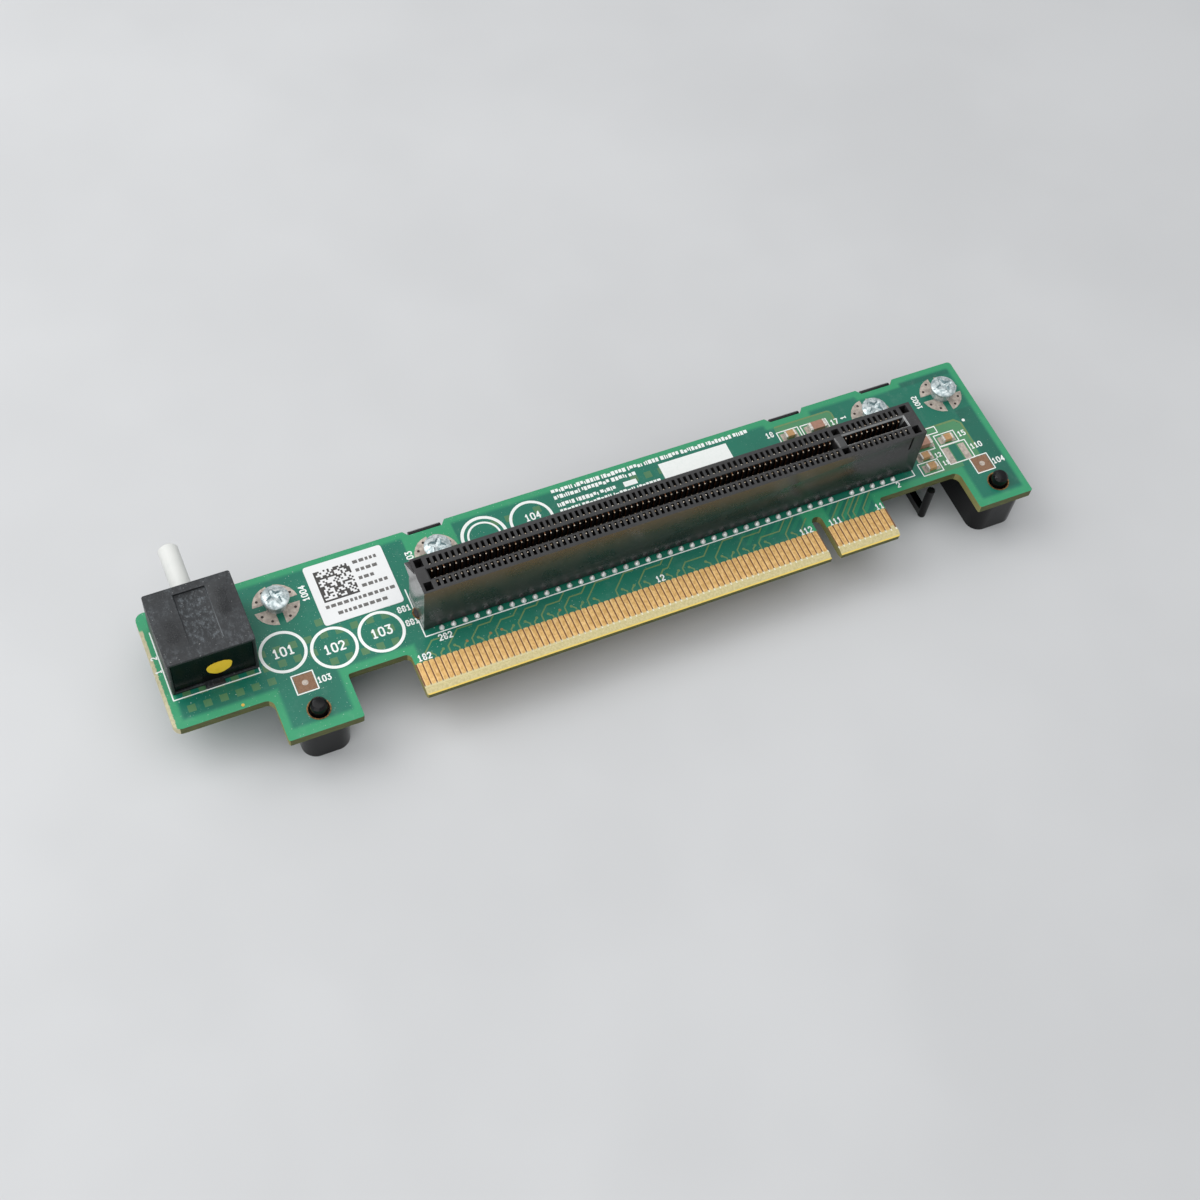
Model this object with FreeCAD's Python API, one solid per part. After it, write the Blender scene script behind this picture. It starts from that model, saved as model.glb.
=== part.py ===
import FreeCAD, Part
import math
import os

# Riser card for a server: a keyed card edge below, a long card slot on top, a case switch at the left
# end and a moulded carrier underneath. Millimetres. X runs along the card, Y from the mating edge to the
# back edge, +Z up. The origin is the middle of the key notch at the mating edge, half way through the
# board, which is where the card meets the slot that it plugs into.

# Board
BOARD_THICKNESS = 1.6
BOARD_LEFT = 109.9
BOARD_RIGHT = 38.1
BOARD_DEPTH = 29.5
SHOULDER = 7.8
BOARD_CORNER_RADIUS = 1.4
RECESS_RADIUS = 1.3
CARD_EDGE_CORNER_RADIUS = 1.0
SHARP_RADIUS = 0.4

# Outer tabs beside the card edge
LEFT_TAB_CENTRE = -88.45
LEFT_TAB_WIDTH = 12.1
RIGHT_TAB_WIDTH = 10.4
TAB_HOLE_HEIGHT = 3.7
LEFT_HOLE_X = -88.5
RIGHT_HOLE_X = 33.3
TAB_HOLE_RADIUS = 1.7

# Card edge
CONTACT_PITCH = 1.0
CONTACTS_SHORT_SIDE = 11
CONTACTS_LONG_SIDE = 71
KEY_TO_CONTACT = 1.5
EDGE_MARGIN = 0.65
KEY_WIDTH = 1.9
KEY_DEPTH = 8.2
BEVEL_LENGTH = 0.95
BEVEL_DROP = 0.35
FINGER_WIDTH = 0.78
FINGER_SETBACK = 0.2
FINGER_LENGTH = 4.55
FIRST_FINGER_SHORTER = 1.0
METAL_THICKNESS = 0.04

# Notches in the back edge
NOTCH_CENTRES = (-61.75, 4.6, 22.6)
NOTCH_WIDTH = 5.8
NOTCH_DEPTH = 0.95
NOTCH_SLANT = 0.75

# Plated holes and screw pads
RING_WIDTH = 0.2
PLATING_CLEARANCE = 0.01
SCREW_CENTRES = (-88.7, -61.5, 19.2, 33.0)
SCREW_Y = 23.6
SCREW_HOLE_RADIUS = 1.7
PAD_INNER_RADIUS = 2.1
PAD_OUTER_RADIUS = 3.75
PAD_GAP = 1.1
PAD_ARC_STEPS = 5

# Slot connector
SLOT_KEY_X = 5.66
SLOT_CENTRE_Y = 14.25
HOUSING_LENGTH = 88.9
HOUSING_DEPTH = 6.65
HOUSING_HEIGHT = 11.0
HOUSING_RIGHT_END = 14.6
HOUSING_LEFT_WALL = 2.0
HOUSING_STANDOFF = 0.3
HOUSING_FOOT = 1.6
SLOT_WIDTH = 1.9
SLOT_DEPTH = 8.4
SLOT_END_GAP = 0.15
SLOT_KEY_WIDTH = 1.6
SLOT_LEAD_IN = 0.25
WINDOW_WIDTH = 0.52
WINDOW_DEPTH = 1.25
SLOT_RIB = 0.5
SLOT_RIB_HEIGHT = 0.5
POCKET_WIDTH = 1.3
POCKET_DEPTH = 1.5
KEY_POCKET_DEPTH = 1.15
POCKET_SINK = 3.0
POCKET_GAP = 0.75
RELIEF_WIDTH = 0.36
RELIEF_HEIGHT = 3.3
RELIEF_DEPTH = 0.5
LOCATING_PEG_RADIUS = 1.15
LOCATING_PEG_INSET = 0.74
PEG_CLEARANCE = 0.05
LUG_REACH = 0.8
LUG_WIDTH = 2.6
LUG_DROP = 0.5
LUG_TAPER = 4.3

# Slot contacts
CONTACT_STRIP_WIDTH = 0.36
CONTACT_THICKNESS = 0.2
CONTACT_BULGE = 0.35
CONTACT_BULGE_DROP = 2.6
CONTACT_TIP_DROP = 0.35
CONTACT_HEEL_GAP = 0.1

# Solder
SOLDER_RADIUS = 0.45
SOLDER_TIP_RADIUS = 0.16
SOLDER_HEIGHT = 0.75
OUTER_ROW = 3.85
INNER_ROW = 1.95
TAIL_HEIGHT = 1.3

# Screws
SCREW_HEAD_RADIUS = 2.25
SCREW_HEAD_THICKNESS = 0.4
SCREW_HEAD_DOME = 0.4
SCREW_NECK_RADIUS = 1.4
SCREW_NECK_HEIGHT = 2.0
SCREW_SHANK_RADIUS = 1.2
SCREW_LENGTH = 7.0

# Carrier
CARRIER_HEIGHT = 8.4
RAIL_HEIGHT = 6.4
WEB_THICKNESS = 2.0
WALL_THICKNESS = 1.5
RAIL_FRONT = 19.6
RAIL_LEFT = -93.0
RAIL_RIGHT = 37.4
BOSS_RADIUS = 3.3
SCREW_PILOT_CLEARANCE = 0.05
LEFT_ARM_X = -88.05
LEFT_ARM_WIDTH = 7.9
RIGHT_ARM_X = 33.6
RIGHT_ARM_WIDTH = 8.6
FOOT_FRONT = 0.85
FOOT_DEPTH = 7.0
FOOT_CORNER_RADIUS = 2.4
PEG_RADIUS = 1.33
PEG_STANDOUT = 1.95
PEG_CHAMFER = 0.4
CATCH_CLEARANCE = 0.1
CATCH_CHAMFER = 0.35
POST_X = 22.85
POST_Y = 7.45
POST_RADIUS = 0.7
POST_DROP = 1.0
POST_RIB_WIDTH = 1.2
POST_RIB_HEIGHT = 1.5
POST_TIE_FRONT = 13.0
POST_TIE_DEPTH = 2.5

# Case switch
SWITCH_LEFT = -108.35
SWITCH_WIDTH = 13.8
SWITCH_FRONT = 13.7
SWITCH_DEPTH = 13.1
SWITCH_HEIGHT = 9.0
SWITCH_WALL = 1.0
SWITCH_FLOOR = 0.9
SWITCH_LIP = 0.55
COVER_INSET = 0.3
COVER_THICKNESS = 1.0
COVER_CLEARANCE = 0.05
PANEL_LEFT = 4.5
PANEL_WIDTH = 4.95
PANEL_BACK_MARGIN = 1.4
PANEL_FRONT_MARGIN = 1.3
PANEL_SINK = 0.45
SWITCH_CORNER_RADIUS = 0.35
SWITCH_TAB_LEFT = 5.05
SWITCH_TAB_WIDTH = 3.1
SWITCH_TAB_REACH = 0.75
SWITCH_TAB_HEIGHT = 0.7
PLUNGER_X = 6.55
PLUNGER_HEIGHT = 4.6
PLUNGER_RADIUS = 1.62
PLUNGER_CLEARANCE = 0.08
PLUNGER_STANDOUT = 9.9
PLUNGER_TRAVEL = 3.0
PLUNGER_TIP_CHAMFER = 0.4
FLANGE_RADIUS = 2.8
FLANGE_THICKNESS = 1.5
FLANGE_GAP = 0.1
PLUNGER_BORE_RADIUS = 1.1
PLUNGER_BORE_DEPTH = 2.2
BRIDGE_WIDTH = 7.6
BRIDGE_HEIGHT = 2.4
BRIDGE_THICKNESS = 0.4
SPRING_WIRE = 0.4
SPRING_RADIUS = 2.0
SPRING_TURNS = 5
SPRING_STEPS = 8
SPRING_SIDES = 4
SPRING_SEAT_GAP = 0.05
GUIDE_RADIUS = 0.8
GUIDE_LENGTH = 6.5
TERMINAL_OFFSET = 3.7
TERMINAL_WIDTH = 1.4
TERMINAL_THICKNESS = 0.5
TERMINAL_TOP = 6.2
TERMINAL_REST_GAP = 0.15
TERMINAL_PIN_WIDTH = 0.6
TERMINAL_PIN_LENGTH = 1.8
TERMINAL_CLEARANCE = 0.05

# Chip capacitors: length, width, height and end cap, with the pads that they are soldered to
SMALL_CHIP = (2.0, 1.25, 0.85, 0.35)
LARGE_CHIP = (3.2, 1.6, 1.2, 0.5)
SMALL_CHIP_PLACES = ((3.6, 24.8), (29.2, 14.65), (23.65, 12.55), (23.7, 10.25))
LARGE_CHIP_PLACES = ((8.75, 24.6), (24.4, 15.0))
CHIP_PAD_REACH = 0.55
CHIP_PAD_MARGIN = 0.12
BARE_PAD_CENTRES = (27.92, 31.0)
BARE_PAD_Y = 11.35
BARE_PAD_WIDTH = 1.22
BARE_PAD_LENGTH = 3.35

# Label
LABEL_LEFT = -82.8
LABEL_FRONT = 17.05
LABEL_WIDTH = 13.2
LABEL_DEPTH = 11.4
LABEL_THICKNESS = 0.1

# Levels and places that follow from the sizes above
TOP = BOARD_THICKNESS / 2
BOTTOM = -BOARD_THICKNESS / 2
SHORT_REACH = KEY_TO_CONTACT + (CONTACTS_SHORT_SIDE - 1) * CONTACT_PITCH
LONG_REACH = KEY_TO_CONTACT + (CONTACTS_LONG_SIDE - 1) * CONTACT_PITCH
CARD_EDGE_RIGHT = SHORT_REACH + EDGE_MARGIN
CARD_EDGE_LEFT = -LONG_REACH - EDGE_MARGIN
LEFT_TAB_LEFT = LEFT_TAB_CENTRE - LEFT_TAB_WIDTH / 2
LEFT_TAB_RIGHT = LEFT_TAB_CENTRE + LEFT_TAB_WIDTH / 2
RIGHT_TAB_LEFT = BOARD_RIGHT - RIGHT_TAB_WIDTH
NOTCH_FLOOR = BOARD_DEPTH - NOTCH_DEPTH

HOUSING_FRONT = SLOT_CENTRE_Y - HOUSING_DEPTH / 2
HOUSING_RIGHT = SLOT_KEY_X + HOUSING_RIGHT_END
HOUSING_LEFT = HOUSING_RIGHT - HOUSING_LENGTH
HOUSING_TOP = TOP + HOUSING_HEIGHT
HOUSING_BOTTOM = TOP + HOUSING_STANDOFF
SLOT_FLOOR = HOUSING_TOP - SLOT_DEPTH
SLOT_LEFT = HOUSING_LEFT + HOUSING_LEFT_WALL
SLOT_RIGHT = SLOT_KEY_X + CARD_EDGE_RIGHT + SLOT_END_GAP
SLOT_LONG_REACH = SLOT_KEY_X - SLOT_LEFT - EDGE_MARGIN - SLOT_END_GAP - KEY_TO_CONTACT
SLOT_CONTACTS_LONG_SIDE = math.floor(SLOT_LONG_REACH / CONTACT_PITCH + 0.001) + 1
LOCATING_PEG_PLACES = (HOUSING_LEFT + LOCATING_PEG_INSET, SLOT_KEY_X)

FLOOR = BOTTOM - CARRIER_HEIGHT
RAIL_BACK = BOARD_DEPTH - CATCH_CLEARANCE

SWITCH_RIGHT = SWITCH_LEFT + SWITCH_WIDTH
SWITCH_BACK = SWITCH_FRONT + SWITCH_DEPTH
SWITCH_TOP = TOP + SWITCH_HEIGHT
PLUNGER_AXIS_X = SWITCH_LEFT + PLUNGER_X
PLUNGER_AXIS_Z = TOP + PLUNGER_HEIGHT
FLANGE_BACK = SWITCH_BACK - SWITCH_WALL - FLANGE_GAP
FLANGE_FRONT = FLANGE_BACK - FLANGE_THICKNESS
BRIDGE_FRONT = FLANGE_FRONT - BRIDGE_THICKNESS
COVER_FRONT = SWITCH_FRONT + COVER_INSET
COVER_BACK = COVER_FRONT + COVER_THICKNESS
TERMINAL_BACK = BRIDGE_FRONT - PLUNGER_TRAVEL - TERMINAL_REST_GAP

X_AXIS = FreeCAD.Vector(1, 0, 0)
Y_AXIS = FreeCAD.Vector(0, 1, 0)
Z_AXIS = FreeCAD.Vector(0, 0, 1)


def point(x, y, z=0.0):
    return FreeCAD.Vector(x, y, z)


def block(x0, x1, y0, y1, z0, z1):
    """Box between two corners."""
    return Part.makeBox(x1 - x0, y1 - y0, z1 - z0, point(x0, y0, z0))


def disc(radius, height, x, y, z):
    """Upright cylinder standing on z."""
    return Part.makeCylinder(radius, height, point(x, y, z), Z_AXIS)


def rounded_face(corners, z):
    """Flat face from (x, y, radius) corners in order, each corner rounded by a tangent arc."""
    starts = []
    ends = []
    middles = []
    count = len(corners)
    for i in range(count):
        x, y, radius = corners[i]
        here = point(x, y, z)
        to_last = point(corners[i - 1][0], corners[i - 1][1], z).sub(here).normalize()
        following = corners[(i + 1) % count]
        to_next = point(following[0], following[1], z).sub(here).normalize()
        half = to_last.getAngle(to_next) / 2
        reach = radius / math.tan(half)
        starts.append(here + to_last * reach)
        ends.append(here + to_next * reach)
        bisector = (to_last + to_next).normalize()
        middles.append(here + bisector * (radius / math.sin(half) - radius))
    edges = []
    for i in range(count):
        if corners[i][2] > 0:
            edges.append(Part.Arc(starts[i], middles[i], ends[i]).toShape())
        tail = starts[(i + 1) % count]
        if ends[i].distanceToPoint(tail) > 1e-6:
            edges.append(Part.LineSegment(ends[i], tail).toShape())
    return Part.Face(Part.Wire(edges))


def side_prism(profile, x0, x1):
    """Prism along X over a closed outline given as (y, z) points."""
    points = [point(x0, y, z) for y, z in profile]
    wire = Part.makePolygon(points + points[:1])
    return Part.Face(wire).extrude(point(x1 - x0, 0, 0))


def turned(profile, x, y):
    """Solid of revolution about an upright axis, from (radius, z) points."""
    points = [point(x + radius, y, z) for radius, z in profile]
    wire = Part.makePolygon(points + points[:1])
    return Part.Face(wire).revolve(point(x, y, 0), Z_AXIS, 360)


def group(solids):
    return Part.makeCompound(solids)


def card_contacts():
    """X of each contact of the card edge, from the first one at the right to the last at the left."""
    right = [SHORT_REACH - i * CONTACT_PITCH for i in range(CONTACTS_SHORT_SIDE)]
    left = [-KEY_TO_CONTACT - i * CONTACT_PITCH for i in range(CONTACTS_LONG_SIDE)]
    return right + left


def slot_contacts():
    """X of each contact of the slot connector, in the same order."""
    right = [SHORT_REACH - i * CONTACT_PITCH for i in range(CONTACTS_SHORT_SIDE)]
    left = [-KEY_TO_CONTACT - i * CONTACT_PITCH for i in range(SLOT_CONTACTS_LONG_SIDE)]
    return [SLOT_KEY_X + x for x in right + left]


def board_outline():
    corners = [
        (-BOARD_LEFT, SHOULDER, BOARD_CORNER_RADIUS),
        (LEFT_TAB_LEFT, SHOULDER, RECESS_RADIUS),
        (LEFT_TAB_LEFT, 0, SHARP_RADIUS),
        (LEFT_TAB_RIGHT, 0, SHARP_RADIUS),
        (LEFT_TAB_RIGHT, SHOULDER, SHARP_RADIUS),
        (CARD_EDGE_LEFT, SHOULDER, CARD_EDGE_CORNER_RADIUS),
        (CARD_EDGE_LEFT, 0, SHARP_RADIUS),
        (-KEY_WIDTH / 2, 0, 0),
        (-KEY_WIDTH / 2, KEY_DEPTH, KEY_WIDTH / 2),
        (KEY_WIDTH / 2, KEY_DEPTH, KEY_WIDTH / 2),
        (KEY_WIDTH / 2, 0, 0),
        (CARD_EDGE_RIGHT, 0, SHARP_RADIUS),
        (CARD_EDGE_RIGHT, SHOULDER, SHARP_RADIUS),
        (RIGHT_TAB_LEFT, SHOULDER, RECESS_RADIUS),
        (RIGHT_TAB_LEFT, 0, SHARP_RADIUS),
        (BOARD_RIGHT, 0, SHARP_RADIUS),
        (BOARD_RIGHT, BOARD_DEPTH, BOARD_CORNER_RADIUS / 2),
    ]
    for centre in reversed(NOTCH_CENTRES):
        half = NOTCH_WIDTH / 2
        corners.append((centre + half + NOTCH_SLANT, BOARD_DEPTH, 0))
        corners.append((centre + half, NOTCH_FLOOR, 0))
        corners.append((centre - half, NOTCH_FLOOR, 0))
        corners.append((centre - half - NOTCH_SLANT, BOARD_DEPTH, 0))
    corners.append((-BOARD_LEFT, BOARD_DEPTH, BOARD_CORNER_RADIUS))
    return corners


def terminal_pins(clearance, z0, z1):
    """The two square pins of the switch, or the holes that take them."""
    half = TERMINAL_PIN_WIDTH / 2 + clearance
    y0 = TERMINAL_BACK - TERMINAL_THICKNESS - clearance
    y1 = TERMINAL_BACK + clearance
    pins = []
    for side in (-1, 1):
        x = PLUNGER_AXIS_X + side * TERMINAL_OFFSET
        pins.append(block(x - half, x + half, y0, y1, z0, z1))
    return pins


def circuit_board():
    board = rounded_face(board_outline(), BOTTOM).extrude(point(0, 0, BOARD_THICKNESS))
    cuts = []
    for side in (-1, 1):
        face = side * TOP
        wedge = ((0, face), (0, face - side * BEVEL_DROP), (BEVEL_LENGTH, face))
        cuts.append(side_prism(wedge, CARD_EDGE_LEFT, CARD_EDGE_RIGHT))
    for radius, x, y in plated_places():
        cuts.append(disc(radius + RING_WIDTH + PLATING_CLEARANCE, BOARD_THICKNESS, x, y, BOTTOM))
    for x in SCREW_CENTRES:
        cuts.append(disc(SCREW_HOLE_RADIUS, BOARD_THICKNESS, x, SCREW_Y, BOTTOM))
    cuts.extend(terminal_pins(TERMINAL_CLEARANCE, BOTTOM, TOP))
    return board.cut(cuts)


def edge_fingers(side):
    """Gold contacts on one face of the card edge. Side is 1 for the top and -1 for the underside."""
    fingers = []
    tip = BEVEL_LENGTH + FINGER_SETBACK
    back = tip + FINGER_LENGTH
    inner = side * TOP
    outer = side * (TOP + METAL_THICKNESS)
    for i, x in enumerate(card_contacts()):
        front = tip
        if i == 0 and side > 0:
            front = tip + FIRST_FINGER_SHORTER
        low = min(inner, outer)
        high = max(inner, outer)
        half = FINGER_WIDTH / 2
        fingers.append(block(x - half, x + half, front, back, low, high))
    return group(fingers)


def plated_places():
    """Every plated hole as (inner radius, x, y): the tab holes, then those of the slot's two pegs."""
    tabs = [(TAB_HOLE_RADIUS, x, TAB_HOLE_HEIGHT) for x in (LEFT_HOLE_X, RIGHT_HOLE_X)]
    pegs = [(LOCATING_PEG_RADIUS + PEG_CLEARANCE, x, SLOT_CENTRE_Y) for x in LOCATING_PEG_PLACES]
    return tabs + pegs


def plated_holes():
    """Copper sleeves, flush below, that stand out as a thin ring on the top of the board."""
    height = BOARD_THICKNESS + METAL_THICKNESS
    sleeves = []
    for radius, x, y in plated_places():
        sleeve = disc(radius + RING_WIDTH, height, x, y, BOTTOM)
        sleeves.append(sleeve.cut(disc(radius, height, x, y, BOTTOM)))
    return group(sleeves)


def ground_pads():
    """Four tinned petals round each screw."""
    petals = []
    for x in SCREW_CENTRES:
        for quarter in range(4):
            corners = petal_arc(x, quarter, PAD_OUTER_RADIUS) + petal_arc(x, quarter, PAD_INNER_RADIUS)[::-1]
            face = Part.Face(Part.makePolygon(corners + corners[:1]))
            petals.append(face.extrude(point(0, 0, METAL_THICKNESS)))
    return group(petals)


def petal_arc(x, quarter, radius):
    """Points along one quarter of a circle round a screw, short of the gaps beside it."""
    trim = math.asin(PAD_GAP / 2 / radius)
    first = quarter * math.pi / 2 + trim
    span = math.pi / 2 - 2 * trim
    turns = [first + span * i / PAD_ARC_STEPS for i in range(PAD_ARC_STEPS + 1)]
    return [point(x + radius * math.cos(turn), SCREW_Y + radius * math.sin(turn), TOP) for turn in turns]


def mounting_screws():
    """Four shoulder screws: the plain neck stands on the carrier and leaves the board free to float."""
    neck_top = TOP + SCREW_NECK_HEIGHT
    rim = neck_top + SCREW_HEAD_THICKNESS
    crown = rim + SCREW_HEAD_DOME
    foot = BOTTOM - SCREW_LENGTH
    profile = (
        (0, foot), (SCREW_SHANK_RADIUS, foot), (SCREW_SHANK_RADIUS, BOTTOM),
        (SCREW_NECK_RADIUS, BOTTOM), (SCREW_NECK_RADIUS, neck_top), (SCREW_HEAD_RADIUS, neck_top),
        (SCREW_HEAD_RADIUS, rim), (SCREW_HEAD_RADIUS - SCREW_HEAD_DOME, crown), (0, crown),
    )
    return group([turned(profile, x, SCREW_Y) for x in SCREW_CENTRES])


def cavity_profile(side):
    """Outline of one contact cavity: a window at the top, and under its rib an opening to the slot."""
    slot_wall = SLOT_CENTRE_Y - side * SLOT_WIDTH / 2
    rib = slot_wall - side * SLOT_RIB
    outer = rib - side * WINDOW_DEPTH
    under_rib = HOUSING_TOP - SLOT_RIB_HEIGHT
    return (
        (outer, SLOT_FLOOR), (slot_wall, SLOT_FLOOR), (slot_wall, under_rib),
        (rib, under_rib), (rib, HOUSING_TOP), (outer, HOUSING_TOP),
    )


def slot_segments():
    """X range of the slot on each side of its key."""
    half_key = SLOT_KEY_WIDTH / 2
    return ((SLOT_LEFT, SLOT_KEY_X - half_key), (SLOT_KEY_X + half_key, SLOT_RIGHT))


def lead_in(x0, x1):
    """Sloped mouth of one slot segment."""
    half = SLOT_WIDTH / 2
    low = HOUSING_TOP - SLOT_LEAD_IN
    grow = SLOT_LEAD_IN
    wires = []
    for z, more in ((low, 0), (HOUSING_TOP, grow)):
        a = point(x0 - more, SLOT_CENTRE_Y - half - more, z)
        b = point(x1 + more, SLOT_CENTRE_Y - half - more, z)
        c = point(x1 + more, SLOT_CENTRE_Y + half + more, z)
        d = point(x0 - more, SLOT_CENTRE_Y + half + more, z)
        wires.append(Part.makePolygon([a, b, c, d, a]))
    return Part.makeLoft(wires, True, True)


def slot_housing():
    """Moulded body of the slot connector, with a cavity for each contact."""
    back = HOUSING_FRONT + HOUSING_DEPTH
    body = block(HOUSING_LEFT, HOUSING_RIGHT, HOUSING_FRONT, back, HOUSING_BOTTOM, HOUSING_TOP)
    feet = []
    for x in (HOUSING_LEFT, HOUSING_RIGHT - HOUSING_FOOT):
        for y in (HOUSING_FRONT, back - HOUSING_FOOT):
            feet.append(block(x, x + HOUSING_FOOT, y, y + HOUSING_FOOT, TOP, HOUSING_BOTTOM))
    peg_height = HOUSING_BOTTOM - BOTTOM
    feet.extend([disc(LOCATING_PEG_RADIUS, peg_height, x, SLOT_CENTRE_Y, BOTTOM) for x in LOCATING_PEG_PLACES])
    feet.append(end_lug())
    cuts = []
    for x0, x1 in slot_segments():
        half = SLOT_WIDTH / 2
        cuts.append(block(x0, x1, SLOT_CENTRE_Y - half, SLOT_CENTRE_Y + half, SLOT_FLOOR, HOUSING_TOP))
        cuts.append(lead_in(x0, x1))
    half = WINDOW_WIDTH / 2
    for x in slot_contacts():
        for side in (1, -1):
            cuts.append(side_prism(cavity_profile(side), x - half, x + half))
    cuts.extend(housing_pockets())
    relief_x = slot_segments()[1][1] - RELIEF_WIDTH
    relief_top = HOUSING_TOP - RELIEF_DEPTH
    cuts.append(block(relief_x, relief_x + RELIEF_WIDTH, HOUSING_FRONT, HOUSING_FRONT + RELIEF_DEPTH,
                      relief_top - RELIEF_HEIGHT, relief_top))
    return body.cut(cuts).fuse(feet).removeSplitter()


def end_lug():
    """Small lug at the back of the left end that tapers forwards and down."""
    back = HOUSING_FRONT + HOUSING_DEPTH
    top = HOUSING_TOP - LUG_DROP
    root = point(HOUSING_LEFT, back, top)
    tip = point(HOUSING_LEFT - LUG_REACH, back, top)
    front = point(HOUSING_LEFT, back - LUG_WIDTH, top)
    low = point(HOUSING_LEFT, back, top - LUG_TAPER)
    sides = ((root, tip, front), (root, low, tip), (tip, low, front), (root, front, low))
    faces = [Part.Face(Part.makePolygon([a, b, c, a])) for a, b, c in sides]
    return Part.makeSolid(Part.makeShell(faces))


def housing_pockets():
    """Square blind pockets at the ends of the window rows and beside the key."""
    pockets = []
    contacts = slot_contacts()
    end_shift = POCKET_GAP + POCKET_WIDTH / 2 + WINDOW_WIDTH / 2
    places = (
        (contacts[0] + end_shift, POCKET_DEPTH),
        (SLOT_KEY_X, KEY_POCKET_DEPTH),
        (contacts[-1] - end_shift, POCKET_DEPTH),
    )
    floor = HOUSING_TOP - POCKET_SINK
    for x, depth in places:
        half = POCKET_WIDTH / 2
        for side in (1, -1):
            inner = SLOT_CENTRE_Y - side * (SLOT_WIDTH / 2 + SLOT_RIB)
            outer = inner - side * depth
            y0 = min(inner, outer)
            y1 = max(inner, outer)
            pockets.append(block(x - half, x + half, y0, y1, floor, HOUSING_TOP))
    return pockets


def contact_profile(side):
    """Side view of one sprung contact: heel on the cavity floor, knee in the slot, tip under the window."""
    slot_wall = SLOT_CENTRE_Y - side * SLOT_WIDTH / 2
    rib = slot_wall - side * SLOT_RIB
    heel = rib - side * (WINDOW_DEPTH - CONTACT_HEEL_GAP)
    bulge = slot_wall + side * CONTACT_BULGE
    tip = rib - side * CONTACT_THICKNESS
    bulge_z = HOUSING_TOP - CONTACT_BULGE_DROP
    tip_z = HOUSING_TOP - CONTACT_TIP_DROP
    inner = bulge - side * CONTACT_THICKNESS * 2
    return ((heel, SLOT_FLOOR), (bulge, bulge_z), (tip, tip_z), (inner, bulge_z))


def sprung_contacts(side):
    half = CONTACT_STRIP_WIDTH / 2
    return group([side_prism(contact_profile(side), x - half, x + half) for x in slot_contacts()])


def solder_bump(x, y):
    """Solder fillet on the top face: a block that narrows upwards."""
    low = SOLDER_RADIUS
    high = SOLDER_TIP_RADIUS
    bump = Part.makeWedge(-low, 0, -low, -high, -high, low, SOLDER_HEIGHT, low, high, high)
    bump.rotate(point(0, 0, 0), X_AXIS, 90)
    bump.translate(point(x, y, TOP))
    return bump


def solder_tail(x, y):
    """Contact tail and its solder under the board: a four-sided point."""
    half = SOLDER_RADIUS
    corners = [point(x - half, y - half, BOTTOM), point(x + half, y - half, BOTTOM),
               point(x + half, y + half, BOTTOM), point(x - half, y + half, BOTTOM)]
    tip = point(x, y, BOTTOM - TAIL_HEIGHT)
    faces = [Part.Face(Part.makePolygon(corners + corners[:1]))]
    for i in range(4):
        faces.append(Part.Face(Part.makePolygon([corners[i - 1], corners[i], tip, corners[i - 1]])))
    return Part.makeSolid(Part.makeShell(faces))


def solder_row(side):
    """Joints of one side of the slot connector: every second contact stands in the outer row."""
    joints = []
    for i, x in enumerate(slot_contacts()):
        if i % 2 == 1:
            y = SLOT_CENTRE_Y - side * OUTER_ROW
            joints.append(solder_bump(x, y))
        else:
            y = SLOT_CENTRE_Y - side * INNER_ROW
        joints.append(solder_tail(x, y))
    return group(joints)


def carrier():
    """Black moulding under the board: a rail behind, two arms with feet, pegs and catches."""
    web_low = BOTTOM - WEB_THICKNESS
    rail_low = BOTTOM - RAIL_HEIGHT
    pieces = [
        block(RAIL_LEFT, RAIL_RIGHT, RAIL_FRONT, RAIL_BACK, web_low, BOTTOM),
        block(RAIL_LEFT, RAIL_RIGHT, RAIL_BACK - WALL_THICKNESS, RAIL_BACK, rail_low, BOTTOM),
    ]
    for x in SCREW_CENTRES:
        pieces.append(disc(BOSS_RADIUS, CARRIER_HEIGHT, x, SCREW_Y, FLOOR))
        rib = WALL_THICKNESS / 2
        pieces.append(block(x - rib, x + rib, SCREW_Y, RAIL_BACK, rail_low, BOTTOM))
    pieces.append(arm(LEFT_ARM_X, LEFT_ARM_WIDTH, web_low))
    pieces.append(arm(RIGHT_ARM_X, RIGHT_ARM_WIDTH, web_low))
    for hole_x in (LEFT_HOLE_X, RIGHT_HOLE_X):
        pieces.append(locating_peg(hole_x))
    for centre in NOTCH_CENTRES:
        pieces.append(catch(centre))
    rib_left = POST_X - POST_RIB_WIDTH / 2
    rib_top = FLOOR + POST_RIB_HEIGHT
    tie_back = POST_TIE_FRONT + POST_TIE_DEPTH
    arm_wall = RIGHT_ARM_X - RIGHT_ARM_WIDTH / 2 + WALL_THICKNESS
    pieces.append(block(rib_left, rib_left + POST_RIB_WIDTH, POST_Y, tie_back, FLOOR, rib_top))
    pieces.append(block(rib_left, arm_wall, POST_TIE_FRONT, tie_back, FLOOR, rib_top))
    pieces.append(disc(POST_RADIUS, BOTTOM - POST_DROP - FLOOR, POST_X, POST_Y, FLOOR))
    pilot = SCREW_SHANK_RADIUS + SCREW_PILOT_CLEARANCE
    pilots = [disc(pilot, CARRIER_HEIGHT, x, SCREW_Y, FLOOR) for x in SCREW_CENTRES]
    return pieces[0].fuse(pieces[1:]).cut(pilots).removeSplitter()


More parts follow.
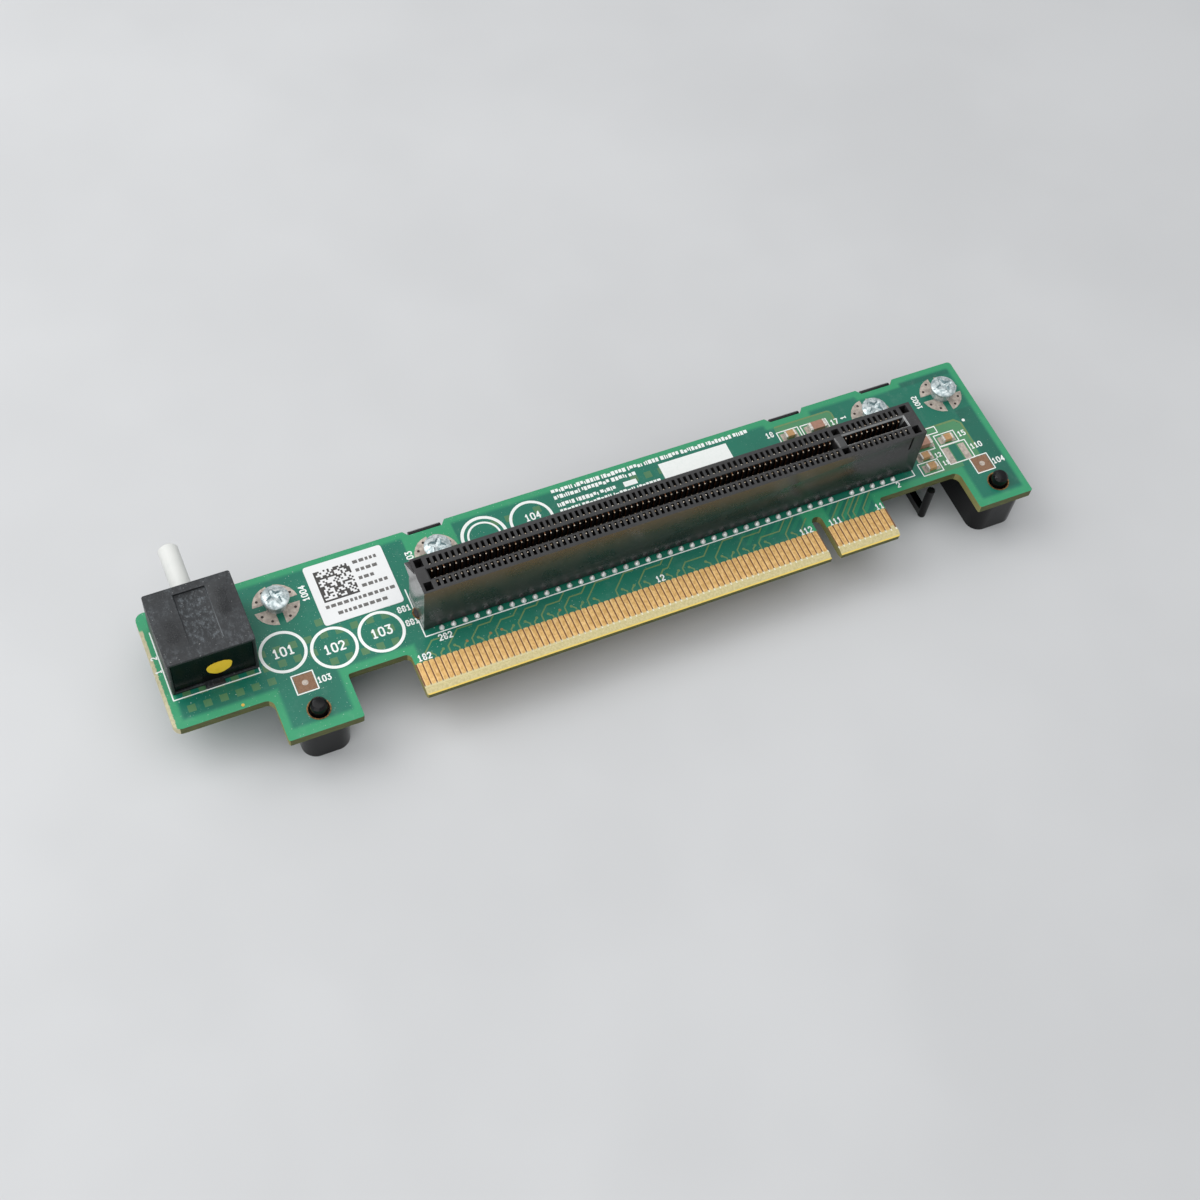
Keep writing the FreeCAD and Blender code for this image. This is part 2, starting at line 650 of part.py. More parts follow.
def arm(centre, width, web_low):
    """Channel from the rail forward, open downwards, that ends in a solid foot with round corners."""
    back = RAIL_FRONT + WALL_THICKNESS
    left = centre - width / 2
    right = centre + width / 2
    radius = FOOT_CORNER_RADIUS
    corners = [(left, FOOT_FRONT, radius), (right, FOOT_FRONT, radius), (right, back, 0), (left, back, 0)]
    whole = rounded_face(corners, FLOOR).extrude(point(0, 0, CARRIER_HEIGHT))
    hollow = block(left + WALL_THICKNESS, right - WALL_THICKNESS, FOOT_FRONT + FOOT_DEPTH, back, FLOOR, web_low)
    return whole.cut(hollow)


def locating_peg(x):
    """Peg through a tab hole, with a chamfered tip."""
    tip = TOP + PEG_STANDOUT
    profile = (
        (0, BOTTOM), (PEG_RADIUS, BOTTOM), (PEG_RADIUS, tip - PEG_CHAMFER),
        (PEG_RADIUS - PEG_CHAMFER, tip), (0, tip),
    )
    return turned(profile, x, TAB_HOLE_HEIGHT)


def catch(centre):
    """Catch that fills a notch in the back edge, level with the top of the board."""
    half = NOTCH_WIDTH / 2 - CATCH_CLEARANCE
    front = NOTCH_FLOOR + CATCH_CLEARANCE
    profile = (
        (front, BOTTOM), (RAIL_BACK, BOTTOM), (RAIL_BACK, TOP - CATCH_CHAMFER),
        (RAIL_BACK - CATCH_CHAMFER, TOP), (front, TOP),
    )
    return side_prism(profile, centre - half, centre + half)


def cover_block(clearance):
    """Front cover's plate, or with clearance the rebate that takes it."""
    lip = SWITCH_LIP - clearance
    return block(SWITCH_LEFT + lip, SWITCH_RIGHT - lip, COVER_FRONT, COVER_BACK,
                 TOP + lip, SWITCH_TOP - lip)


def along_y(radius, y0, y1):
    """Cylinder on the plunger's axis."""
    centre = point(PLUNGER_AXIS_X, y0, PLUNGER_AXIS_Z)
    return Part.makeCylinder(radius, y1 - y0, centre, Y_AXIS)


def switch_housing():
    body = block(SWITCH_LEFT, SWITCH_RIGHT, SWITCH_FRONT, SWITCH_BACK, TOP, SWITCH_TOP)
    upright = [e for e in body.Edges if abs(e.tangentAt(e.FirstParameter).z) > 0.9]
    body = body.makeFillet(SWITCH_CORNER_RADIUS, upright)
    wall = SWITCH_WALL
    cavity = block(SWITCH_LEFT + wall, SWITCH_RIGHT - wall, SWITCH_FRONT, SWITCH_BACK - wall,
                   TOP + SWITCH_FLOOR, SWITCH_TOP - wall)
    lip = SWITCH_LIP - COVER_CLEARANCE
    mouth = block(SWITCH_LEFT + lip, SWITCH_RIGHT - lip, SWITCH_FRONT, COVER_BACK, TOP + lip, SWITCH_TOP - lip)
    panel_left = SWITCH_LEFT + PANEL_LEFT
    panel_back = SWITCH_BACK - PANEL_BACK_MARGIN
    ramp = (
        (SWITCH_FRONT + PANEL_FRONT_MARGIN, SWITCH_TOP), (panel_back, SWITCH_TOP - PANEL_SINK),
        (panel_back, SWITCH_TOP),
    )
    panel = side_prism(ramp, panel_left, panel_left + PANEL_WIDTH)
    bore = along_y(PLUNGER_RADIUS + PLUNGER_CLEARANCE, SWITCH_BACK - 2 * wall, SWITCH_BACK)
    pins = terminal_pins(TERMINAL_CLEARANCE, TOP, TOP + SWITCH_FLOOR)
    tab_left = SWITCH_LEFT + SWITCH_TAB_LEFT
    tab = block(tab_left, tab_left + SWITCH_TAB_WIDTH, SWITCH_FRONT - SWITCH_TAB_REACH, SWITCH_FRONT + lip,
                TOP, TOP + min(SWITCH_TAB_HEIGHT, lip))
    return body.cut([cavity, mouth, panel, bore] + pins).fuse(tab).removeSplitter()


def switch_cover():
    """Inset front plate with the pin that guides the spring."""
    return cover_block(0).fuse(along_y(GUIDE_RADIUS, COVER_BACK, COVER_BACK + GUIDE_LENGTH))


def switch_plunger():
    tip = SWITCH_BACK + PLUNGER_STANDOUT
    flange = along_y(FLANGE_RADIUS, FLANGE_FRONT, FLANGE_BACK)
    stem = along_y(PLUNGER_RADIUS, FLANGE_BACK, tip)
    rim = [e for e in stem.Edges if e.BoundBox.YMin > tip - PLUNGER_CLEARANCE]
    stem = stem.makeChamfer(PLUNGER_TIP_CHAMFER, rim)
    bore = along_y(PLUNGER_BORE_RADIUS, FLANGE_FRONT, FLANGE_FRONT + PLUNGER_BORE_DEPTH)
    return flange.fuse(stem).cut(bore).removeSplitter()


def contact_bridge():
    """Brass plate on the plunger's flange that joins the two terminals when it is pressed."""
    half = BRIDGE_WIDTH / 2
    low = PLUNGER_AXIS_Z - BRIDGE_HEIGHT / 2
    plate = block(PLUNGER_AXIS_X - half, PLUNGER_AXIS_X + half, BRIDGE_FRONT, FLANGE_FRONT,
                  low, low + BRIDGE_HEIGHT)
    return plate.cut(along_y(PLUNGER_BORE_RADIUS, BRIDGE_FRONT, FLANGE_FRONT))


def return_spring():
    """Coil spring between the cover and the bridge, in short straight lengths of wire."""
    start = COVER_BACK + SPRING_SEAT_GAP + SPRING_WIRE / 2
    end = BRIDGE_FRONT - SPRING_SEAT_GAP - SPRING_WIRE / 2
    steps = SPRING_TURNS * SPRING_STEPS
    line = []
    for i in range(steps + 1):
        turn = 2 * math.pi * i / SPRING_STEPS
        line.append(point(PLUNGER_AXIS_X + SPRING_RADIUS * math.cos(turn),
                          start + (end - start) * i / steps,
                          PLUNGER_AXIS_Z + SPRING_RADIUS * math.sin(turn)))
    section = []
    for i in range(SPRING_SIDES + 1):
        turn = 2 * math.pi * i / SPRING_SIDES
        outwards = point(math.cos(turn) * SPRING_WIRE / 2, math.sin(turn) * SPRING_WIRE / 2, 0)
        section.append(line[0] + outwards)
    mitred = 1
    return Part.makePolygon(line).makePipeShell([Part.makePolygon(section)], True, False, mitred)


def switch_terminals():
    """Two fixed terminals, each with a pin through the board."""
    bars = []
    pins = terminal_pins(0, BOTTOM - TERMINAL_PIN_LENGTH, TOP + SWITCH_FLOOR)
    for side, pin in zip((-1, 1), pins):
        x = PLUNGER_AXIS_X + side * TERMINAL_OFFSET
        half = TERMINAL_WIDTH / 2
        bar = block(x - half, x + half, TERMINAL_BACK - TERMINAL_THICKNESS, TERMINAL_BACK,
                    TOP + SWITCH_FLOOR, TOP + TERMINAL_TOP)
        bars.append(bar.fuse(pin).removeSplitter())
    return group(bars)


def chip_places():
    """Every chip capacitor as (size, x, y)."""
    small = [(SMALL_CHIP, x, y) for x, y in SMALL_CHIP_PLACES]
    large = [(LARGE_CHIP, x, y) for x, y in LARGE_CHIP_PLACES]
    return small + large


def chip_bodies(size, places):
    length, width, height, cap = size
    bodies = []
    low = TOP + METAL_THICKNESS
    for x, y in places:
        half = length / 2 - cap
        bodies.append(block(x - half, x + half, y - width / 2, y + width / 2, low, low + height))
    return group(bodies)


def chip_ends():
    ends = []
    low = TOP + METAL_THICKNESS
    for size, x, y in chip_places():
        length, width, height, cap = size
        for side in (-1, 1):
            inner = x + side * (length / 2 - cap)
            outer = x + side * length / 2
            ends.append(block(min(inner, outer), max(inner, outer), y - width / 2, y + width / 2,
                              low, low + height))
    return group(ends)


def tinned_pads():
    """Pads under the chip ends, and the pair left bare."""
    pads = []
    high = TOP + METAL_THICKNESS
    for size, x, y in chip_places():
        length, width, height, cap = size
        half = width / 2 + CHIP_PAD_MARGIN
        for side in (-1, 1):
            inner = x + side * (length / 2 - cap)
            outer = x + side * (length / 2 + CHIP_PAD_REACH)
            pads.append(block(min(inner, outer), max(inner, outer), y - half, y + half, TOP, high))
    for x in BARE_PAD_CENTRES:
        half = BARE_PAD_WIDTH / 2
        long_half = BARE_PAD_LENGTH / 2
        pads.append(block(x - half, x + half, BARE_PAD_Y - long_half, BARE_PAD_Y + long_half, TOP, high))
    return group(pads)


def label():
    return block(LABEL_LEFT, LABEL_LEFT + LABEL_WIDTH, LABEL_FRONT, LABEL_FRONT + LABEL_DEPTH,
                 TOP, TOP + LABEL_THICKNESS)


PIECES = {
    "circuit_board": circuit_board(),
    "edge_contacts_top": edge_fingers(1),
    "edge_contacts_under": edge_fingers(-1),
    "plated_holes": plated_holes(),
    "ground_pads": ground_pads(),
    "mounting_screws": mounting_screws(),
    "slot_housing": slot_housing(),
    "slot_contacts_front": sprung_contacts(1),
    "slot_contacts_rear": sprung_contacts(-1),
    "solder_joints_front": solder_row(1),
    "solder_joints_rear": solder_row(-1),
    "carrier": carrier(),
    "switch_housing": switch_housing(),
    "switch_cover": switch_cover(),
    "switch_plunger": switch_plunger(),
    "switch_contact_bridge": contact_bridge(),
    "switch_return_spring": return_spring(),
    "switch_terminals": switch_terminals(),
    "small_capacitor_bodies": chip_bodies(SMALL_CHIP, SMALL_CHIP_PLACES),
    "large_capacitor_bodies": chip_bodies(LARGE_CHIP, LARGE_CHIP_PLACES),
    "capacitor_ends": chip_ends(),
    "tinned_pads": tinned_pads(),
    "label": label(),
}

os.makedirs("parts", exist_ok=True)
for name, shape in PIECES.items():
    if not shape.isValid():
        raise ValueError(name + " is not a valid shape")
    shape.exportStep("parts/" + name + ".step")
    print(name, len(shape.Solids), "solids", round(shape.Volume, 2), "mm3")
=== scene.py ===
"""Dresses the riser card: finishes, print, solder and rounded mouldings over the solid model."""

import logging
import math
import random
from dataclasses import dataclass
from enum import Enum
from functools import cache, reduce
from typing import Callable, Optional, Sequence, Union

import bmesh
import bpy
from mathutils import Euler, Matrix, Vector

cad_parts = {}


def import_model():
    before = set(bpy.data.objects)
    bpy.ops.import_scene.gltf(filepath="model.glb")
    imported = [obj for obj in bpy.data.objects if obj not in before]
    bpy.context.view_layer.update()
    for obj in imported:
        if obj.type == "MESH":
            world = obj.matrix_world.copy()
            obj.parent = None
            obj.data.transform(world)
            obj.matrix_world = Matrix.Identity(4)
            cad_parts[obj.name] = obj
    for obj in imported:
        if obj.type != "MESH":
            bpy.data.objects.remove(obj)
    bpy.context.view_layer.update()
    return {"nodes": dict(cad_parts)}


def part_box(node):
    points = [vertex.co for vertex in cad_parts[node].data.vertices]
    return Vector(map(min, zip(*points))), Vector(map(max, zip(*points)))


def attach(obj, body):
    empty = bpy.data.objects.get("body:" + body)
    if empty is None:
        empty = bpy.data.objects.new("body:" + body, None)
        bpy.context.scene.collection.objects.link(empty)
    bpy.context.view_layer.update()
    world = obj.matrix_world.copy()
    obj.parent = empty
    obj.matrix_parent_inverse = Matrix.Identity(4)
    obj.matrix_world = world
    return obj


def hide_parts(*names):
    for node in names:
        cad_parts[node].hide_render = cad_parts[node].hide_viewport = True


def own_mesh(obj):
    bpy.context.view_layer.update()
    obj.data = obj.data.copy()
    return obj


LOG = logging.getLogger("riser_card")
MM = 0.001
CARD = "card"
PLUNGER = "plunger"
BOARD_SLOT = "board_laminate"
TIN_SLOT = "tinned_copper"
BOARD_TOP = 0.8
FIRST_CONTACT = -1.5
SCREW_PLACES = (-88.7, -61.5, 19.2, 33)
SCREW_ROW = 23.6
SHARP_ANGLE = 34

Number = Union[int, float]
Value = Union["Signal", Number]
Socket = bpy.types.NodeSocket
Point2 = tuple[float, float]


def srgb(red: int, green: int, blue: int) -> tuple[float, ...]:
    """Turns a screen colour of 0 to 255 into the linear colour that a shader takes."""
    parts = (value / 255 for value in (red, green, blue))
    return (*(part / 12.92 if part <= 0.04045 else ((part + 0.055) / 1.055) ** 2.4 for part in parts), 1)


class Nodes:
    """A node tree, with one method for any node in it."""

    def __init__(self, tree: bpy.types.NodeTree) -> None:
        """Keeps the tree."""
        self.tree = tree

    def node(self, kind: str, sockets: Optional[dict] = None, **settings: object) -> bpy.types.Node:
        """Adds a node.

        Args:
            kind: Blender's type of node.
            sockets: what feeds its inputs, by their names or numbers.
            settings: attributes to set first.

        Returns:
            The new node.
        """
        node = self.tree.nodes.new(kind)
        for name, value in settings.items():
            setattr(node, name, value)
        for key, value in (sockets or {}).items():
            self.feed(node.inputs[key], value)
        return node

    def feed(self, socket: Socket, value: object) -> None:
        """Links or sets one input.

        Args:
            socket: the input.
            value: a signal, an output socket, a number, a vector, or a screen colour as a tuple.
        """
        if isinstance(value, Signal):
            value = value.socket
        if isinstance(value, Socket):
            self.tree.links.new(value, socket)
        else:
            socket.default_value = srgb(*value) if isinstance(value, tuple) else value


def operation(name: str, meaning: str, swapped: bool = False) -> Callable[..., "Signal"]:
    """Makes a method of a signal that adds one Math node.

    Args:
        name: Blender's name of the operation.
        meaning: the method's docstring.
        swapped: whether the signal comes after the other value.

    Returns:
        The method.
    """

    def method(self: "Signal", *others: Value) -> "Signal":
        """Adds the node."""
        values = (*others, self) if swapped else (self, *others)
        node = self.nodes.node("ShaderNodeMath", dict(enumerate(values)), operation=name)
        return Signal(self.nodes, node.outputs[0])

    method.__doc__ = meaning
    return method


class Signal:
    """A number that varies over a surface, held as a socket, with arithmetic as Math nodes."""

    def __init__(self, nodes: Nodes, socket: Socket) -> None:
        """Keeps the socket and the nodes that it belongs to."""
        self.nodes = nodes
        self.socket = socket

    __add__ = __radd__ = operation("ADD", "Sum.")
    __sub__ = operation("SUBTRACT", "Difference.")
    __rsub__ = operation("SUBTRACT", "Difference the other way round.", swapped=True)
    __mul__ = __rmul__ = operation("MULTIPLY", "Product.")
    __truediv__ = operation("DIVIDE", "Quotient.")
    above = operation("GREATER_THAN", "One where the signal is over the limit.")
    below = operation("LESS_THAN", "One where the signal is under the limit.")
    magnitude = operation("ABSOLUTE", "Absolute value.")
    fraction = operation("FRACT", "What is over the next whole number below.")
    sine = operation("SINE", "Sine of an angle in radians.")
    largest = operation("MAXIMUM", "The greater of two.")

    def ramp(self, low: Number, high: Number, start: Number = 0, end: Number = 1) -> "Signal":
        """Smooth step between two levels.

        Args:
            low: signal value where the step starts.
            high: signal value where it ends; it may be less than low.
            start: result at low.
            end: result at high.

        Returns:
            The stepped signal.
        """
        if high < low:
            low, high, start, end = high, low, end, start
        sockets = {"Value": self, "From Min": low, "From Max": high, "To Min": start, "To Max": end}
        node = self.nodes.node("ShaderNodeMapRange", sockets, interpolation_type="SMOOTHSTEP")
        return Signal(self.nodes, node.outputs[0])


@dataclass(eq=False)
class Finish(Nodes):
    """One material: what feeds its Principled shader, over the coordinates of the piece in millimetres."""

    name: str

    @cache
    def make(self) -> bpy.types.Material:
        """Builds the material, once.

        Returns:
            The material.
        """
        material = bpy.data.materials.new(self.name)
        material.use_nodes = True
        self.tree = material.node_tree
        self.shader = self.tree.nodes["Principled BSDF"]
        self.place = self.node("ShaderNodeTexCoord").outputs["Object"]
        self.x, self.y, self.z = (part / MM for part in self.parts(self.place))
        left, front, self.facing_up = self.parts(self.node("ShaderNodeNewGeometry").outputs["Normal"])
        self.facing_left = left.below(-0.5)
        self.facing_front = front.below(-0.5)
        self.polish: Value = 0
        self.fill()
        return material

    def fill(self) -> None:
        """Adds the nodes; each kind of finish has its own."""
        raise NotImplementedError

    def parts(self, vector: Socket) -> list[Signal]:
        """Splits a vector into its three parts."""
        return [Signal(self, part) for part in self.node("ShaderNodeSeparateXYZ", {0: vector}).outputs]

    def noise(self, size: float, detail: float = 3.0, rough: float = 0.55, stretch: Sequence = ()) -> Signal:
        """Soft random field.

        Args:
            size: width of its blotches in millimetres.
            detail: octaves.
            rough: weight of the fine octaves.
            stretch: factors on the coordinates, for streaks.

        Returns:
            A signal from 0 to 1, mostly 0.3 to 0.7.
        """
        place = self.place
        if stretch:
            place = self.node("ShaderNodeMapping", {"Vector": place, "Scale": Vector(stretch)}).outputs[0]
        sockets = {"Vector": place, "Scale": 1 / (size * MM), "Detail": detail, "Roughness": rough}
        return Signal(self, self.node("ShaderNodeTexNoise", sockets).outputs[0])

    def window(self, x0: float, x1: float, y0: float, y1: float, soft: float = 0.2) -> Signal:
        """Soft-edged rectangle seen from above, in millimetres.

        Args:
            x0: left side.
            x1: right side.
            y0: front side.
            y1: back side.
            soft: width of the edge.

        Returns:
            One inside and zero outside.
        """
        half = soft / 2
        across = self.x.ramp(x0 - half, x0 + half) * self.x.ramp(x1 + half, x1 - half)
        along = self.y.ramp(y0 - half, y0 + half) * self.y.ramp(y1 + half, y1 - half)
        return across * along

    def windows(self, *areas: Sequence[float]) -> Signal:
        """One inside any of several soft-edged rectangles."""
        return reduce(Signal.largest, [self.window(*area) for area in areas])

    def mix(self, share: Value, first: object, second: object) -> Socket:
        """Blends a share of the second colour into the first."""
        return self.node("ShaderNodeMix", {0: share, 6: first, 7: second}, data_type="RGBA").outputs[2]

    def bump(self, height: Signal, depth: float, strength: float = 1.0) -> None:
        """Feeds the shader's normal from a height, of which 1 is that many millimetres deep."""
        sockets = {"Height": height, "Distance": depth * MM, "Strength": strength}
        self.set(Normal=self.node("ShaderNodeBump", sockets).outputs[0])

    def set(self, **values: object) -> None:
        """Sets or links inputs of the shader, with underscores for the spaces of their names."""
        for key, value in values.items():
            self.feed(self.shader.inputs[key.replace("_", " ")], value)


@dataclass(eq=False)
class MouldedPlastic(Finish):
    """Black or white moulded plastic with a spark-eroded grain and slightly uneven sheen."""

    dark: tuple
    light: tuple
    sheen: float
    rough: float
    grain: float = 0.004
    grain_size: float = 0.16
    scuffs: float = 0.0
    dust: float = 0.0
    top_rough: float = 0.0
    scuff_tone: tuple = (118, 122, 126)
    dust_tone: tuple = (206, 208, 208)

    def fill(self) -> None:
        """Adds the tones, scuffs, dust and grain."""
        blotch = self.noise(5, 4).ramp(0.32, 0.68)
        grain = self.noise(self.grain_size, 2)
        tone = self.mix(blotch * 0.6 + grain * 0.4, self.dark, self.light)
        if self.scuffs:
            scuff = self.noise(0.8, 5, 0.72, (1, 2.4, 1)).ramp(0.54, 0.76) * self.scuffs
            tone = self.mix(scuff, tone, self.scuff_tone)
        if self.dust:
            specks = self.noise(0.24, 1).ramp(0.72, 0.78) * self.dust
            tone = self.mix(specks, tone, self.dust_tone)
        tone = self.accent(tone)
        rough = self.rough + self.facing_up.ramp(0.5, 0.9) * self.top_rough + (blotch - 0.5) * 0.14
        self.set(Base_Color=tone, Roughness=rough - self.polish * 0.22, Specular_IOR_Level=self.sheen)
        self.bump(grain, self.grain)

    def accent(self, tone: Socket) -> Socket:
        """Colour where the piece differs from plain plastic; here nowhere."""
        return tone


@dataclass(eq=False)
class SlotPlastic(MouldedPlastic):
    """Plastic of the slot: pale worn mouth at the short segment and key, even grey left end."""

    # worn is the tone of the painted highlight on the mouth and key; end is the tone of the painted reflection on
    # the left end.
    worn: tuple = (140, 142, 142)
    end: tuple = (72, 75, 76)

    def accent(self, tone: Socket) -> Socket:
        """Colour with the worn slope of the mouth and the pale left end.

        Args:
            tone: the plain colour.

        Returns:
            The colour.
        """
        slope = self.facing_up.above(0.3) * self.facing_up.below(0.92)
        mouth = slope * self.window(6.3, 19, 12.9, 15.6, 0.1)
        key = self.window(4.9, 6.5, 13.2, 15.3, 0.2) * 0.12
        # Painted highlight on the mouth's slopes, and fainter on the key.
        tone = self.mix(mouth.largest(key) * 0.85, tone, self.worn)
        front = self.facing_front * self.z.ramp(4, 9.5, 0.2, 1) * self.x.ramp(8.5, 3.5, 0.05, 1)
        self.set(Coat_Weight=front.largest(self.facing_left), Coat_Roughness=0.26)
        # Painted reflection of the light from the left: the left end faces are lighter grey.
        return self.mix(self.facing_left * self.x.below(-69), tone, self.end)


@dataclass(eq=False)
class SwitchPlastic(MouldedPlastic):
    """Plastic of the switch: coarse pale mottling on its top, most of it on the sunk panel."""

    pale: tuple = (92, 98, 102)
    rim_highlight: tuple = (132, 138, 142)
    panel: tuple = (-103.85, -98.9, 15.8, 25.4, 1.2)
    smooth_patches: tuple = ((-107.2, -104.6, 17, 21.5, 2.4), (-98.4, -95.9, 19, 25, 2.4))
    # Strip along the panel's right wall that takes the painted highlight.
    rim: tuple = (-98.95, -98.83, 15.8, 25.3, 0.08)

    def accent(self, tone: Socket) -> Socket:
        """Colour with the mottling, the smoother dark patches and the panel's pale rim.

        Args:
            tone: the plain colour.

        Returns:
            The colour.
        """
        top = self.facing_up.above(0.5)
        streak = self.noise(0.6, 6, 0.8, (1, 0.6, 1)).ramp(0.46, 0.66)
        patch = self.noise(4, 3, 0.6).ramp(0.42, 0.62, 0.15, 0.55)
        share = patch.largest(self.window(*self.panel) * 0.95)
        sunk = self.windows(*self.smooth_patches)
        self.polish = sunk
        share = share * (1 - sunk * 0.7)
        tone = self.mix(streak * share * top, tone, self.pale)
        tone = self.mix(sunk * 0.6, tone, self.dark)
        # Painted highlight along the panel's right wall, on the top only.
        return self.mix(self.window(*self.rim) * top * 0.4, tone, self.rim_highlight)


@dataclass(eq=False)
class PlatedMetal(Finish):
    """Plated or bare metal with a light and a dark tone, and another on its steep faces if given."""

    light: tuple
    dark: tuple
    rough: float
    metallic: float = 1.0
    size: float = 0.8
    grain: float = 0.003
    steep: tuple = ()

    def fill(self) -> None:
        """Adds the tones and grain."""
        cloud = self.noise(self.size, 4).ramp(0.34, 0.66)
        tone = self.mix(cloud, self.light, self.dark)
        if self.steep:
            # Painted shade on steep faces, such as the walls of the screws' cross recesses.
            tone = self.mix(self.facing_up.ramp(0.82, 0.55) * self.facing_up.above(0.1), tone, self.steep)
        self.set(Base_Color=tone, Metallic=self.metallic, Roughness=self.rough + (cloud - 0.5) * 0.14)
        self.bump(self.noise(self.size * 0.18, 2), self.grain)


@dataclass(eq=False)
class FingerGold(Finish):
    """Gold of the card edge's fingers, rounded at both ends: mask behind and bare laminate before."""

    name: str = "finger_gold"
    light: tuple = (226, 184, 118)
    dark: tuple = (202, 158, 94)
    # Tone of the gold's streaks and of the painted highlight along each finger's left edge.
    streak: tuple = (244, 214, 158)
    bare: tuple = (214, 202, 150)
    mask: tuple = (12, 112, 88)
    front: float = 1.48
    back: float = 5.74

    def fill(self) -> None:
        """Adds the streaky gold and what shows at the fingers' corners."""
        cloud = self.noise(0.5, 4).ramp(0.34, 0.66)
        lines = self.noise(0.3, 4, 0.6, (1, 0.25, 1)).ramp(0.52, 0.7)
        off = (self.x - FIRST_CONTACT + 0.5).fraction() - 0.5
        tone = self.mix(lines * 0.45, self.mix(cloud, self.light, self.dark), self.streak)
        # Painted highlight along the left edge of each finger.
        tone = self.mix(off.ramp(-0.2, -0.34) * 0.45, tone, self.streak)
        corner = off * off * off * off
        bare = (self.y - corner * 14).below(self.front)
        green = (self.y + corner * 9).above(self.back)
        tone = self.mix(green, self.mix(bare, tone, self.bare), self.mask)
        metal = 1 - bare.largest(green)
        self.set(Base_Color=tone, Metallic=metal * 0.5, Roughness=0.42 + (cloud - 0.5) * 0.14)
        self.bump(self.noise(0.1, 2), 0.004)


@dataclass(eq=False)
class FlatInk(Finish):
    """Printed or exposed flat colour on the board, a little uneven."""

    base: tuple
    worn: tuple
    rough: float = 0.45
    wear: float = 0.35
    size: float = 0.7

    def fill(self) -> None:
        """Adds the two tones and a fine grain."""
        patch = self.noise(self.size, 5, 0.65).ramp(0.4, 0.75) * self.wear
        self.set(Base_Color=self.mix(patch, self.base, self.worn), Roughness=self.rough + patch * 0.2)
        self.bump(self.noise(0.12, 1), 0.002)


@dataclass(eq=False)
class PaleFloor(Finish):
    """Matt, faintly mottled floor."""

    name: str = "pale_floor"

    def fill(self) -> None:
        """Adds the mottling."""
        tone = self.mix(self.noise(60, 3).ramp(0.3, 0.7), (204, 205, 206), (210, 211, 212))
        self.set(Base_Color=tone, Roughness=0.85, Specular_IOR_Level=0.15)


